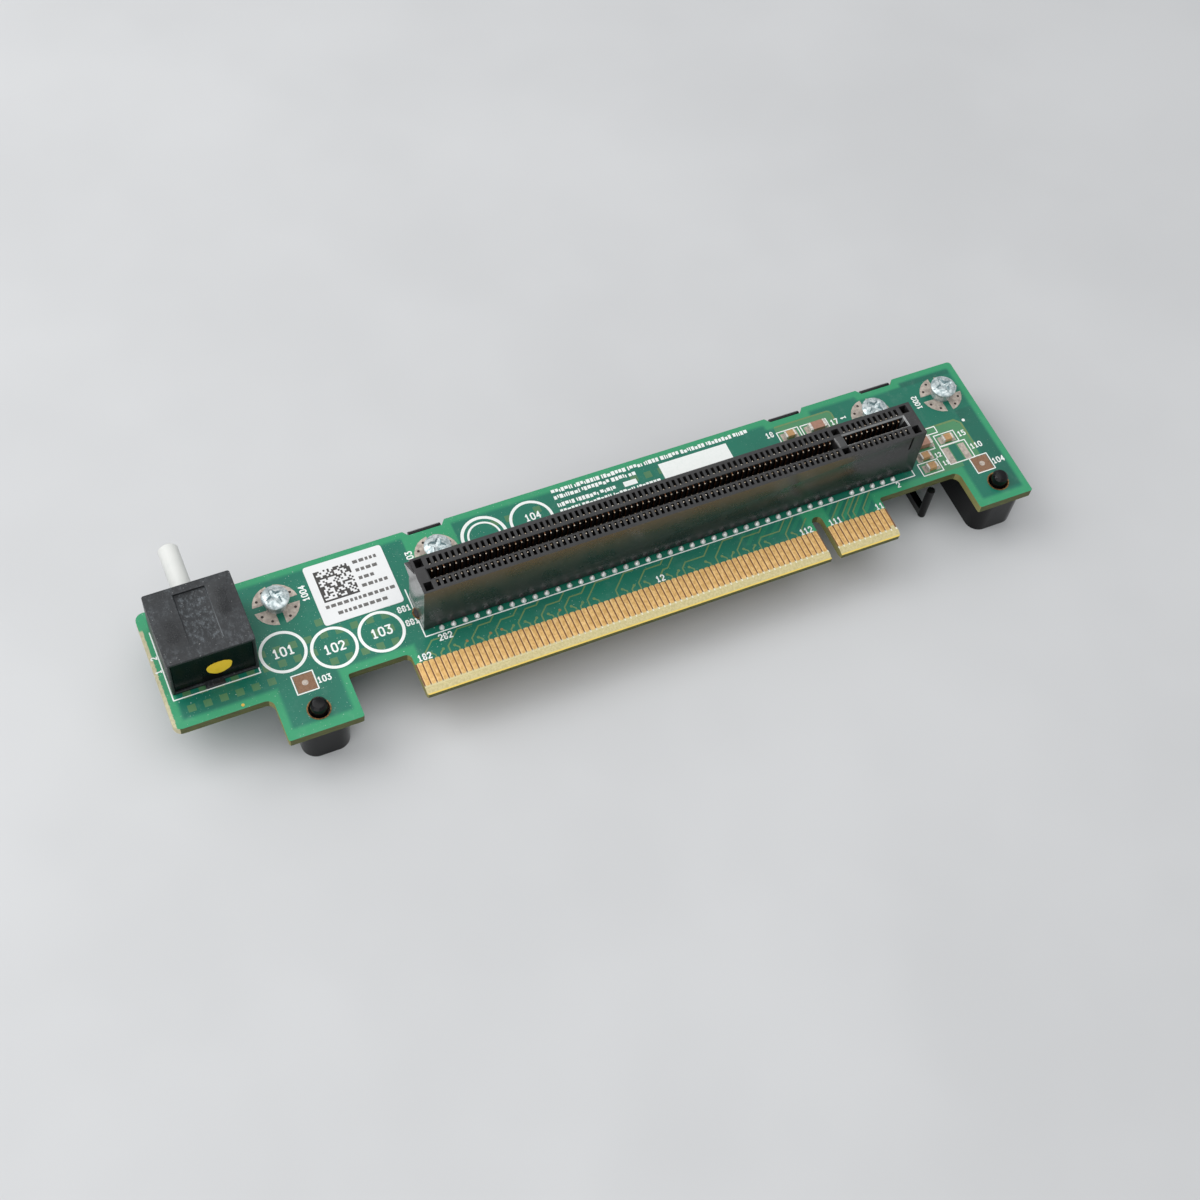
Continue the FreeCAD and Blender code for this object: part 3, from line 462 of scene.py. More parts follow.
@dataclass(eq=False)
class BoardLaminate(Finish):
    """Green solder mask over woven laminate, bare at the card edge and on the cut edges."""

    name: str = "board_laminate"
    mask_dark: tuple = (10, 114, 91)
    mask_light: tuple = (46, 150, 104)
    mask_deep: tuple = (8, 90, 74)
    band: tuple = (38, 140, 98)
    film: tuple = (188, 212, 200)
    bare: tuple = (216, 203, 152)
    bare_weave: tuple = (176, 162, 108)
    bright: tuple = (240, 208, 92)
    gap_shade: tuple = (116, 76, 52)
    stub: tuple = (244, 240, 226)
    cut: tuple = (94, 98, 48)
    cut_dark: tuple = (58, 62, 30)
    cut_left_highlight: tuple = (160, 154, 96)
    cream: tuple = (206, 198, 162)
    planes: tuple = (
        (-108.1, 36.9, 9.2, 28.3, 0.9), (-93.3, -83.6, 1.8, 11, 0.9), (-71, 10.9, 3, 11, 0.9),
        (29, 36.9, 1.4, 11, 0.9),
    )
    clearings: tuple = (
        (-66, -57.4, 20.5, 31, 0.4), (0.2, 9, 27.2, 31, 0.8), (18.2, 27, 27.4, 31, 0.8),
        (-2.2, 2.2, -1, 9.9, 0.8),
    )

    def mask(self, cloud: Signal) -> Socket:
        """Colour of the solder mask: darker over the inner copper, with bands of traces and a little dust.

        Args:
            cloud: slow variation over the board.

        Returns:
            The colour.
        """
        plane = self.windows(*self.planes) * (1 - self.windows(*self.clearings))
        # Darker still in strips along the right and back edges and in a band just in front of the switch.
        deep = self.windows((24.5, 36.9, 27.2, 28.3, 0.4), (33.6, 36.9, 2, 19.6, 0.5))
        deep = deep.largest(self.window(-108, -94, 9.4, 12.4, 0.6) * 0.5)
        tone = self.mix(plane, self.mask_light, self.mask_dark)
        tone = self.mix((cloud * 0.35 + deep * 0.55) * plane, tone, self.mask_deep)
        bands = ((self.x - self.y) * 3.1 + cloud * 1.5).sine().ramp(-0.1, 0.5)
        beside_key = self.window(2.2, 11, 5.8, 9.6, 0.5).largest(self.window(-14, -1.6, 7.2, 9.6, 0.5) * 0.5)
        tone = self.mix(bands * beside_key * 0.75, tone, self.band)
        film = self.noise(1.6, 4, 0.6).ramp(0.5, 0.75) * 0.04
        dust = self.noise(0.26, 1).ramp(0.705, 0.765) * self.x.ramp(0, -80, 0.2, 0.75)
        return self.mix(film.largest(dust), tone, self.film)

    def edge(self) -> Socket:
        """Colour of the cut edges: olive layers, paler where the cut faces left, rough cream at the far left.

        Returns:
            The colour.
        """
        layers = self.noise(0.5, 3, 0.6, (0.3, 0.3, 6)).ramp(0.35, 0.7)
        side = self.mix(layers, self.cut, self.cut_dark)
        # Painted highlight on the faces of the cut that look left.
        side = self.mix(self.facing_left * (0.5 + layers * 0.3), side, self.cut_left_highlight)
        torn = self.noise(0.7, 4, 0.7).ramp(0.35, 0.65)
        return self.mix(self.x.below(-109) * (0.75 + torn * 0.25), side, self.cream)

    def card_edge(self) -> Socket:
        """Colour of the bare laminate: woven, bright at its bevel, brown and with pale stubs between the fingers.

        Returns:
            The colour.
        """
        weave = self.noise(0.35, 3, 0.7).ramp(0.35, 0.7)
        bare = self.mix(weave * 0.5, self.bare, self.bare_weave)
        bare = self.mix(self.y.ramp(0.34, 0.1) * 0.9, bare, self.bright)
        between = ((self.x - FIRST_CONTACT).fraction() - 0.5).magnitude().below(0.14)
        stub = between * self.y.ramp(1.18, 1.26) * self.y.ramp(1.66, 1.58) * self.x.ramp(-66, -30, 0.2, 0.9)
        # Painted brown shade on the laminate between the fingers.
        laminate = self.mix(between * self.y.above(1.45), bare, self.gap_shade)
        return self.mix(stub, laminate, self.stub)

    def fill(self) -> None:
        """Adds the mask, the bare card edge and the cut edges."""
        cloud = self.noise(14, 3).ramp(0.3, 0.7)
        fingers = self.window(-72.3, 12.3, -1, 5.6, 0.04)
        top = self.mix(fingers, self.mask(cloud), self.card_edge())
        flat = self.facing_up.magnitude().above(0.6)
        slope = fingers * self.facing_up.magnitude().above(0.2)
        ragged = (self.noise(0.7, 4, 0.7) - 0.5) * 0.6
        torn = (self.x + ragged).ramp(-109.3, -109.45) * self.y.ramp(26.6, 26)
        self.set(
            Base_Color=self.mix(torn.largest(1 - flat.largest(slope)), top, self.edge()),
            Roughness=0.62 - flat * (1 - fingers) * 0.3 + cloud * 0.06,
            Specular_IOR_Level=0.45,
        )
        self.bump(self.noise(0.5, 2) * 0.6 + self.noise(2.4, 2) * 0.4, 0.012, 0.35)


BOARD = BoardLaminate()
FINGER_GOLD = FingerGold()
BLACK_HOUSING = SlotPlastic(
    "slot_black", (24, 24, 25), (42, 41, 41), 0.6, 0.3, 0.004, 0.12, scuffs=0.1, dust=0.2, top_rough=0.24
)
BLACK_SWITCH = SwitchPlastic(
    "switch_black", (18, 20, 22), (36, 39, 42), 0.45, 0.44, 0.02, 0.2, scuffs=0.2, dust=0.6
)
BLACK_COVER = MouldedPlastic("cover_black", (6, 9, 9), (11, 15, 14), 0.14, 0.24, 0.002, 0.3)
BLACK_CARRIER = MouldedPlastic("carrier_black", (6, 6, 7), (13, 13, 15), 0.24, 0.2, 0.005, 0.2)
WHITE_PLUNGER = MouldedPlastic("plunger_white", (214, 216, 212), (224, 225, 221), 0.4, 0.42, 0.003, 0.2)
CONTACT_METAL = PlatedMetal("contact_metal", (128, 80, 46), (70, 40, 22), 0.4, 0.7, 0.6)
# Near-white tone of the painted highlights on the contacts' crests and tips.
CONTACT_HIGHLIGHT = PlatedMetal("contact_highlight", (250, 240, 222), (206, 182, 150), 0.3, 0.35, 1.2)
SWITCH_BRASS = PlatedMetal("switch_brass", (214, 176, 104), (180, 140, 80), 0.35)
SPRING_STEEL = PlatedMetal("spring_steel", (180, 182, 184), (140, 142, 145), 0.3)
# Its last tone is a painted shade, darker and bluer, on the steep walls of the cross recesses.
ZINC = PlatedMetal("screw_zinc", (222, 230, 230), (150, 166, 168), 0.34, 0.5, 0.6, 0.016, (146, 168, 172))
DULL_TIN = PlatedMetal("pad_tin", (198, 186, 174), (166, 154, 144), 0.5, 0.3, 0.6, 0.008)
SOLDER = PlatedMetal("solder", (248, 248, 246), (216, 216, 214), 0.3, 0.35, 0.5, 0.006)
CHIP_TIN = PlatedMetal("chip_tin", (226, 222, 214), (190, 184, 176), 0.42, 0.4, 0.4, 0.01)
COPPER = PlatedMetal("hole_copper", (146, 106, 60), (90, 62, 34), 0.42, 0.6, 0.4)
TAN_CERAMIC = FlatInk("tan_ceramic", (188, 148, 100), (156, 116, 74), 0.4, 0.6, 0.5)
PINK_CERAMIC = FlatInk("pink_ceramic", (170, 128, 108), (142, 102, 84), 0.4, 0.6, 0.5)
WHITE_INK = FlatInk("white_ink", (244, 247, 244), (206, 222, 212), 0.5, 0.2, 0.5)
OLIVE_COPPER = FlatInk("olive_copper", (78, 124, 82), (56, 116, 82), 0.34, 0.6, 1.2)
OLIVE_TRACE = FlatInk("olive_trace", (112, 138, 86), (64, 128, 86), 0.36, 0.6, 0.8)
OLIVE_PATCH = FlatInk("olive_patch", (74, 138, 94), (60, 128, 90), 0.34, 0.4, 2)
GREEN_GAP = FlatInk("green_gap", (10, 108, 86), (16, 116, 92), 0.34, 0.4, 2)
BROWN_LAMINATE = FlatInk("brown_laminate", (140, 106, 80), (110, 76, 54), 0.6, 0.7, 0.3)
# Dark spots of painted shade that stand for the inside of small holes.
VIA_HOLE_SHADE = FlatInk("via_hole_shade", (38, 26, 20), (20, 14, 10), 0.6, 0.5, 0.3)
VIA_COPPER = FlatInk("via_copper", (150, 124, 72), (118, 92, 52), 0.5, 0.5, 0.3)
LABEL_PAPER = FlatInk("label_paper", (234, 235, 235), (226, 228, 228), 0.55, 0.3, 1.5)
LABEL_INK = FlatInk("label_ink", (52, 50, 48), (104, 102, 100), 0.6, 0.5, 0.3)
LABEL_GREY = FlatInk("label_grey", (96, 94, 92), (142, 140, 138), 0.6, 0.6, 0.3)
YELLOW_DOT = FlatInk("yellow_dot", (254, 214, 56), (236, 192, 42), 0.4, 0.4, 0.8)
BRASS_SPOT = FlatInk("brass_spot", (222, 180, 70), (190, 140, 50), 0.4, 0.5, 0.2)


class Level(Enum):
    """Height above the middle of the board, in millimetres, of each flat layer."""

    COPPER = 0.806
    OPENING = 0.812
    INK = 0.82
    ROOT = 0.836
    PAD = 0.846
    LABEL = 0.912


def stand(name: str, data: bpy.types.ID) -> bpy.types.Object:
    """Puts a mesh, lamp or camera in the scene.

    Args:
        name: the object's name.
        data: what it is made of.

    Returns:
        The object.
    """
    made = bpy.data.objects.new(name, data)
    bpy.context.scene.collection.objects.link(made)
    return made


def span(start: Point2, end: Point2) -> tuple[float, float, float, float]:
    """Length and angle of the line between two points, and its middle."""
    run = Vector((end[0] - start[0], end[1] - start[1]))
    return run.length, math.atan2(run.y, run.x), (start[0] + end[0]) / 2, (start[1] + end[1]) / 2


class Piece:
    """A mesh in millimetres, made with bmesh operators, that ends as an object on a body."""

    def __init__(self, name: str) -> None:
        """Starts an empty mesh for an object of that name."""
        self.name = name
        self.mesh = bmesh.new()

    def place(self, verts: list, middle: Sequence, size: Sequence = (), turn: Sequence = ()) -> list:
        """Moves new vertices from the origin to their place.

        Args:
            verts: the vertices.
            middle: their place.
            size: factors to scale them by first, if any.
            turn: angles in radians to turn them by then, if any.

        Returns:
            The vertices.
        """
        if size:
            bmesh.ops.scale(self.mesh, vec=size, verts=verts)
        if turn:
            bmesh.ops.rotate(self.mesh, cent=(0, 0, 0), matrix=Euler(turn).to_matrix(), verts=verts)
        bmesh.ops.translate(self.mesh, vec=middle, verts=verts)
        return verts

    def cube(self, middle: Sequence, size: Sequence, turn: Sequence = ()) -> None:
        """Adds a box of that size round its middle."""
        self.place(bmesh.ops.create_cube(self.mesh, size=1)["verts"], middle, size, turn)

    def bar(self, x: float, start: Point2, end: Point2, width: float, thick: float) -> None:
        """Adds a flat bar across one x, between two (y, z) points."""
        length, angle, y, z = span(start, end)
        self.cube((x, y, z), (width, length, thick), (angle, 0, 0))

    def sheet(self, x: float, y: float, z: float, width: float, depth: float, turn: Sequence = ()) -> None:
        """Adds a flat rectangle that faces up, round its middle."""
        made = bmesh.ops.create_grid(self.mesh, x_segments=1, y_segments=1, size=0.5)["verts"]
        self.place(made, (x, y, z), (width, depth, 1), turn)

    def patch(self, x0: float, x1: float, y0: float, y1: float, level: Level) -> None:
        """Adds a flat rectangle that faces up, between its sides."""
        self.sheet((x0 + x1) / 2, (y0 + y1) / 2, level.value, x1 - x0, y1 - y0)

    def circle(
        self, radius: float, middle: Sequence, sides: int, filled: bool = True, turn: Sequence = ()
    ) -> list:
        """Adds a circle and returns its vertices."""
        made = bmesh.ops.create_circle(self.mesh, cap_ends=filled, segments=sides, radius=radius)["verts"]
        return self.place(made, middle, (), turn)

    def spot(self, radius: float, x: float, y: float, sides: int, level: Level, lift: float = 0.0) -> None:
        """Adds a flat round spot that faces up."""
        self.circle(radius, (x, y, level.value + lift), sides)

    def hoop(self, radius: float, width: float, x: float, y: float, level: Level, sides: int = 72) -> None:
        """Adds a flat ring of that middle radius and width."""
        rims = [self.circle(radius + side * width / 2, (x, y, level.value), sides, False) for side in (-1, 1)]
        bmesh.ops.bridge_loops(self.mesh, edges=[edge for rim in rims for edge in self.edges_of(rim)])

    @staticmethod
    def edges_of(verts: list) -> list:
        """Lists the edges at some vertices."""
        return list({edge for vert in verts for edge in vert.link_edges})

    def spun(self, profile: Sequence[Point2], angle: float, steps: int, merged: bool) -> list:
        """Spins a line about the upright axis through the origin.

        Args:
            profile: its (radius, height) points.
            angle: how far, in radians.
            steps: how finely.
            merged: whether the last step joins the first.

        Returns:
            The new vertices.
        """
        before = set(self.mesh.verts)
        line = [self.mesh.verts.new((radius, 0, height)) for radius, height in profile]
        geom = line + [self.mesh.edges.new(pair) for pair in zip(line, line[1:])]
        bmesh.ops.spin(
            self.mesh, geom=geom, cent=(0, 0, 0), axis=(0, 0, 1), angle=angle, steps=steps, use_merge=merged
        )
        return [vert for vert in self.mesh.verts if vert not in before]

    def arc(
        self, inner: float, outer: float, x: float, y: float, middle: float, half: float, level: Level
    ) -> None:
        """Adds a flat piece of a ring, half an angle to each side of its middle, in degrees."""
        made = self.spun(((outer, 0), (inner, 0)), math.radians(2 * half), 6, False)
        self.place(made, (x, y, level.value), (), (0, 0, math.radians(middle - half)))

    def stroke(self, points: Sequence[Point2], width: float, level: Level, closed: bool = False) -> None:
        """Adds a flat line with round ends and corners.

        Args:
            points: its corners.
            width: its width.
            level: its height.
            closed: whether it returns to its start.
        """
        path = list(points) + ([points[0]] if closed else [])
        for count, (start, end) in enumerate(zip(path, path[1:])):
            lift = 0.001 * (count % 3)
            length, angle, x, y = span(start, end)
            self.sheet(x, y, level.value + lift, length, width, (0, 0, angle))
            self.spot(width / 2, end[0], end[1], 8, level, 0.003 + lift)
        if not closed:
            self.spot(width / 2, path[0][0], path[0][1], 8, level, 0.0035)

    def turned(self, profile: Sequence[Point2], x: float, y: float, sides: int) -> list:
        """Adds a body of revolution about an upright axis.

        Args:
            profile: its (radius, height) points, from the axis out and back to the axis.
            x: the axis.
            y: the axis.
            sides: steps round.

        Returns:
            The new vertices.
        """
        made = self.spun(profile, math.tau, sides, True)
        bmesh.ops.remove_doubles(self.mesh, verts=made, dist=1e-5)
        made = [vert for vert in made if vert.is_valid]
        faces = list({face for vert in made for face in vert.link_faces})
        bmesh.ops.recalc_face_normals(self.mesh, faces=faces)
        return self.place(made, (x, y, 0))

    def coil(self, radius: float, wire: float, middle: Vector, length: float, turns: int, steps: int = 20) -> None:
        """Adds a spring of round wire along Y.

        Args:
            radius: from its axis to the middle of the wire.
            wire: the wire's diameter.
            middle: middle of its front end.
            length: its whole length.
            turns: how often it goes round.
            steps: steps of one turn.
        """
        ring = self.circle(wire / 2, middle + Vector((radius, wire / 2, 0)), 8, False)
        count = turns * steps
        bmesh.ops.spin(
            self.mesh, geom=ring + self.edges_of(ring), cent=middle, axis=(0, 1, 0),
            dvec=(0, (length - wire) / count, 0), angle=math.tau * turns, steps=count, use_merge=False,
        )
        bmesh.ops.holes_fill(self.mesh, edges=[edge for edge in self.mesh.edges if edge.is_boundary], sides=0)
        bmesh.ops.recalc_face_normals(self.mesh, faces=self.mesh.faces)

    def finish(
        self, recipe: Finish, slot: str = BOARD_SLOT, node: str = "", smooth: float = 0.0, body: str = CARD,
        unit: float = MM,
    ) -> bpy.types.Object:
        """Makes the object, puts it on its body and closes the mesh under way.

        Args:
            recipe: its finish.
            slot: the record's material slot that it answers to; empty for a thing of the studio.
            node: the node of the solid model that it stands for, if any.
            smooth: angle in degrees under which its edges are smooth.
            body: the body that it rides on.
            unit: what the mesh is measured in, in metres.

        Returns:
            The object.
        """
        bmesh.ops.scale(self.mesh, vec=(unit, unit, unit), verts=self.mesh.verts)
        data = bpy.data.meshes.new(self.name)
        self.mesh.to_mesh(data)
        self.mesh.free()
        if smooth:
            data.shade_smooth()
            data.set_sharp_from_angle(angle=math.radians(smooth))
        data.materials.append(recipe.make())
        made = stand(self.name, data)
        if slot:
            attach(made, body)
        if node:
            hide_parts(node)
        LOG.info("%s: %d faces", self.name, len(data.polygons))
        return made


@dataclass
class Assembly:
    """A group of pieces, and the nodes of the solid model that it only dresses or rounds."""

    nodes: dict
    dressed: tuple = ()
    rounded: tuple = ()

    def build(self) -> None:
        """Dresses and rounds its nodes and adds its own pieces."""
        for node, recipe in self.dressed:
            data = self.nodes[node].data
            data.materials.clear()
            data.materials.append(recipe.make())
            LOG.info("%s: dressed", node)
        self.round_nodes()
        self.add_pieces()

    def add_pieces(self) -> None:
        """Adds the pieces that the solid model doesn't have; here none."""

    def round_nodes(self) -> None:
        """Stands copies with rounded edges in for nodes of the solid model; widths are in millimetres."""
        for node, recipe, slot, width, segments, body in self.rounded:
            piece = Piece(node + "_soft")
            mesh = piece.mesh
            mesh.from_mesh(self.nodes[node].data)
            bmesh.ops.remove_doubles(mesh, verts=mesh.verts, dist=1e-7)
            flat = math.radians(0.5)
            bmesh.ops.dissolve_limit(mesh, angle_limit=flat, verts=mesh.verts, edges=mesh.edges)
            made = piece.finish(recipe, slot, node, SHARP_ANGLE, body, 1)
            bevel = made.modifiers.new("edge", "BEVEL")
            bevel.width = width * MM
            bevel.segments = segments
            bevel.limit_method = "ANGLE"
            bevel.angle_limit = math.radians(SHARP_ANGLE)
            bevel.harden_normals = True


@dataclass
class BoardFace(Assembly):
    """The board with its card edge, pads, olive copper squares, traces and alignment marks."""

    dressed: tuple = (
        ("circuit_board", BOARD), ("edge_contacts_top", FINGER_GOLD), ("edge_contacts_under", FINGER_GOLD),
        ("plated_holes", COPPER), ("ground_pads", DULL_TIN), ("tinned_pads", DULL_TIN),
    )
    square: float = 1.25
    square_pitch: float = 2.53
    first_square: float = -106.3
    square_rows: tuple = (
        (10.7, (*range(6), *range(9, 14))), (13.2, (*range(9), 10, 12, 13)), (15.75, (*range(5, 14),)),
        (18.15, (9,)), (25.9, (22, 23, 25, 32, 33, 34, 38)),
    )
    traces: tuple = (
        (-70, 1.85, 1.3, 0), (-66.1, 2.4, 2.5, 0), (-62.1, 1.75, 2, 0.9), (-58.1, 1.5, 2.1, 1.1),
        (-54.2, 2, 1.9, 0.65), (-50.2, 1.4, 2.3, 1.25), (-46.2, 1.5, 2.1, 1.2), (-42.2, 2.55, 2.4, 0),
        (-37.2, 2.55, 1.6, 0), (-33.1, 1.95, 2.8, 0.7), (-29.2, 0.9, 0.8, 1.6), (-25.2, 0.9, 3.4, 1.7),
        (-19.2, 2.5, 1.8, 0), (-15.2, 1.9, 3.1, 0.8), (-11.2, 0.85, 3.4, 1.8), (-6.2, 2.65, 0, 0),
        (-3.2, 1.6, 0, 0), (2.6, 2.65, 0, 0), (4.5, 2.65, 0, 0), (5.6, 2.65, 0, 0), (6.6, 2.65, 0, 0),
        (8.5, 2.65, 0, 0),
    )
    left_hooks: tuple = (
        -68.5, -64.5, -60.5, -56.5, -52.5, -48.5, -44.5, -40.5, -35.5, -31.5, -27.5, -23.5, -20.5, -17.5, -13.5,
        -9.5, -4.5,
    )
    right_hooks: tuple = (-67.6, -63.6, -59.6, -55.7, -51.7, -47.7, -43.7, -34.6, -26.6, -16.6, -12.6)
    bright_vias: tuple = (-56.5, -63.6, -59.6, -47.7)
    trace_width: float = 0.24
    mask_edge: float = 5.76
    knee: float = 6.95
    hook_knee: float = 6.2
    hook_end: float = 6.75
    flats: tuple = (
        ("copper_patches", Piece.patch, Level.COPPER, OLIVE_PATCH, BOARD_SLOT, (
            (1.6, 12.6, 19, 27.25), (22, 32.6, 8.6, 17.85), (32.6, 33.2, 8.6, 17.1),
        )),
        ("copper_patch_border", Piece.stroke, Level.OPENING, OLIVE_TRACE, BOARD_SLOT, (
            (((26, 17.85), (32.4, 17.85), (33.3, 16.9), (33.3, 11.6)), 0.36),
            (((1.9, 27.25), (12.1, 27.25), (12.6, 26.7), (12.6, 24)), 0.3),
        )),
        ("mask_gaps", Piece.patch, Level.OPENING, GREEN_GAP, BOARD_SLOT, (
            (28.75, 30.15, 9.8, 13.3), (29.4, 30.6, 8.5, 9.4),
        )),
        ("alignment_windows", Piece.patch, Level.OPENING, BROWN_LAMINATE, BOARD_SLOT, (
            (31, 34.1, 6.4, 9.5), (-90.53, -87.43, 7.2, 10.3),
        )),
        ("brass_spot", Piece.spot, Level.OPENING, BRASS_SPOT, TIN_SLOT, ((0.26, -99, 8.44, 16),)),
        ("alignment_spots", Piece.spot, Level.INK, DULL_TIN, TIN_SLOT, (
            (0.5, 32.55, 7.95, 24), (0.5, -88.98, 8.75, 24),
        )),
    )
    petal_ring: float = 3.1

    def add_pieces(self) -> None:
        """Adds the squares, traces, patches, alignment marks and holes that lie flat on the board."""
        self.add_squares()
        self.add_traces()
        for name, draw, level, recipe, slot, rows in self.flats:
            piece = Piece(name)
            for row in rows:
                draw(piece, *row, level)
            piece.finish(recipe, slot)
        self.add_pad_vias()

    def add_squares(self) -> None:
        """Adds the rows of copper squares that show through the mask."""
        piece = Piece("copper_squares")
        for y, columns in self.square_rows:
            for column in columns:
                x = self.first_square + column * self.square_pitch
                piece.sheet(x, y, Level.COPPER.value, self.square, self.square)
        piece.finish(OLIVE_COPPER)

    def add_traces(self) -> None:
        """Adds the traces from the card edge to the slot, and the short hooks with their vias."""
        piece = Piece("copper_traces")
        vias = Piece("trace_vias")
        for x, rise, level_run, last_rise in self.traces:
            path = [(x, self.mask_edge), (x, self.knee), (x + rise, self.knee + rise)]
            if level_run:
                path.append((x + rise + level_run, self.knee + rise))
            if last_rise:
                path.append((x + rise + level_run + last_rise, self.knee + rise + last_rise))
            piece.stroke(path, self.trace_width, Level.COPPER)
        for hooks, lean in ((self.left_hooks, -0.6), (self.right_hooks, 0.6)):
            for x in hooks:
                path = [(x, self.mask_edge), (x, self.hook_knee), (x + lean, self.hook_end)]
                piece.stroke(path, self.trace_width, Level.COPPER)
                target = vias if x in self.bright_vias else piece
                target.spot(0.25, x + lean, self.hook_end, 12, Level.OPENING)
        piece.finish(OLIVE_TRACE)
        vias.finish(VIA_COPPER)

    def add_pad_vias(self) -> None:
        """Adds the pairs of small holes in the petals round the screws, and the petals' roots."""
        piece = Piece("pad_vias")
        roots = Piece("petal_roots")
        for x in SCREW_PLACES:
            for middle in (45, 135, 225, 315):
                roots.arc(1.6, 2.2, x, SCREW_ROW, middle, 28, Level.ROOT)
                for lean in (-17, 17):
                    angle = math.radians(middle + lean)
                    reach = (self.petal_ring * math.cos(angle), self.petal_ring * math.sin(angle))
                    # Flat dark spot of painted shade in place of the hole.
                    piece.spot(0.24, x + reach[0], SCREW_ROW + reach[1], 12, Level.PAD)
        piece.finish(VIA_HOLE_SHADE)
        roots.finish(DULL_TIN, TIN_SLOT)


@dataclass
class Print(Assembly):
    """White print on the board: frames, rings, plain numerals and rows of plain dashes."""

    line: float = 0.2
    seed: int = 11
    numeral_grid: int = 20
    numerals: tuple = (
        ("0", "3,0 0,4 0,16 3,20 9,20 12,16 12,4 9,0 3,0"), ("1", "2,15 6,20 6,0|2,0 10,0"),
        ("2", "0,16 3,20 9,20 12,16 12,12 0,0 12,0"), ("3", "0,20 12,20 6,12 10,11 12,8 12,4 9,0 3,0 0,3"),
        ("4", "9,0 9,20 0,6 12,6"), ("5", "11,20 1,20 1,12 8,12 12,9 12,4 8,0 0,1"), ("7", "0,20 12,20 4,0"),
        ("8", "3,10 0,14 3,20 9,20 12,14 9,10 3,10|3,10 0,5 3,0 9,0 12,5 9,10"),
    )
    rings: tuple = (
        (3.53, 0.5, -90.39, 15.07), (3.53, 0.5, -82.73, 13.01), (3.53, 0.5, -74.91, 13.09),
        (3.53, 0.5, -44.6, 24.3), (3.7, 0.55, -53.1, 24), (2.7, 0.35, -53.1, 24),
    )
    lines: tuple = (
        ((-68.8, 19), (-68.8, 15.2)), ((-68.8, 12.9), (-68.8, 9.75), (20.17, 9.75), (20.17, 11.5)),
        ((-108.5, 25.6), (-108.5, 12.84), (-94.75, 12.84), (-94.75, 14)), ((26.6, 17.7), (26.3, 18.4)),
    )
    frames: tuple = (
        (30.86, 34.3, 6.3, 9.65), (-90.72, -87.3, 7.05, 10.45), (27.25, 31.15, 13.62, 15.95),
        (27.2, 32.1, 9.6, 13.5), (21.65, 25.55, 9.05, 11.55), (21.8, 26.3, 13.6, 16.9),
        (1.63, 5.65, 23.6, 26.05), (6.15, 11.1, 23.6, 25.95), (26.2, 28.4, 16.5, 17.8),
    )
    plain: tuple = (
        ("101", -91.95, 14.35, 1.5), ("102", -84.3, 12.25, 1.5), ("103", -76.5, 12.35, 1.5),
        ("104", -45.5, 24.3, 1.2), ("182", -71.3, 5.95, 1), ("282", -66.9, 8.3, 1),
        ("881", -71.2, 15.3, 0.95), ("881", -70.8, 12.6, 0.95), ("103", -87, 7.95, 0.95),
        ("12", -30.1, 5.95, 1), ("112", -3.7, 5.8, 1), ("111", 1.8, 5.8, 1), ("11", 10.7, 5.85, 1),
        ("2", 16.3, 8.6, 0.95), ("18", -0.3, 25.6, 0.95), ("17", 11.7, 24.3, 0.95), ("15", 31.7, 14.4, 0.95),
        ("110", 32.5, 11.3, 0.95), ("104", 34.6, 7.2, 1), ("12", 25.6, 11.8, 0.8), ("11", 26.15, 9.9, 0.8),
    )
    upright: tuple = (
        ("1004", -83.5, 22.65, 0.95), ("03", -65.4, 24.2, 1), ("1002", 28.5, 22.1, 0.9), ("1", 14.6, 24.8, 0.9),
        ("1", -108.75, 18.2, 0.85), ("2", -108.75, 20.7, 0.85),
    )
    dash_rows: tuple = (
        (-39.8, -3.2, 28.2, 0.8), (-39.8, -24.4, 27, 0.8), (-39.8, -28.6, 25.4, 0.8), (-39.8, -21, 24.15, 0.7),
    )
    blocks: tuple = ((-27.5, -25.1, 24.9, 25.9), (-20.4, -7.6, 23.4, 27.2))

    def add_numbers(self, piece: Piece, rows: tuple, turned: bool) -> None:
        """Writes plain numbers from their lower left corners.

        Args:
            piece: the mesh that takes them.
            rows: text, x, y and height of each.
            turned: whether they read upwards.
        """
        shapes = dict(self.numerals)
        for text, x, y, height in rows:
            for place, digit in enumerate(text):
                for path in shapes[digit].split("|"):
                    points = []
                    for corner in path.split():
                        u, v = (int(part) / self.numeral_grid for part in corner.split(","))
                        u, v = (u * 0.85 + place * 0.8) * height, v * height
                        points.append((x - v, y + u) if turned else (x + u, y + v))
                    piece.stroke(points, 0.1 + height * 0.12, Level.INK)

    def add_dashes(self, piece: Piece) -> None:
        """Draws rows of plain blocks, in runs, where the board has small lettering.

        Args:
            piece: the mesh that takes them.
        """
        chance = random.Random(self.seed)
        for x, end, y, height in self.dash_rows:
            left = 0
            while x < end - 0.4:
                if left == 0:
                    left = chance.randint(4, 9)
                    x += 0.25
                width = chance.choice((0.24, 0.5, 0.5, 0.62))
                trim = chance.choice((0, 0, 0.12, 0.2))
                side = chance.choice((-1, 1))
                front, back = y - height / 2 + trim * (side < 0), y + height / 2 - trim * (side > 0)
                piece.patch(x, x + width, front, back, Level.INK)
                x += width + 0.14
                left -= 1

    def add_pieces(self) -> None:
        """Draws everything that is printed in white."""
        piece = Piece("white_print")
        for ring in self.rings:
            piece.hoop(*ring, Level.INK)
        for path in self.lines:
            piece.stroke(path, self.line, Level.INK)
        for x0, x1, y0, y1 in self.frames:
            piece.stroke([(x0, y0), (x1, y0), (x1, y1), (x0, y1)], self.line, Level.INK, closed=True)
        self.add_numbers(piece, self.plain, False)
        self.add_numbers(piece, self.upright, True)
        self.add_dashes(piece)
        for block in self.blocks:
            piece.patch(*block, Level.INK)
        piece.spot(0.3, 34.04, 17.23, 16, Level.INK)
        piece.finish(WHITE_INK)


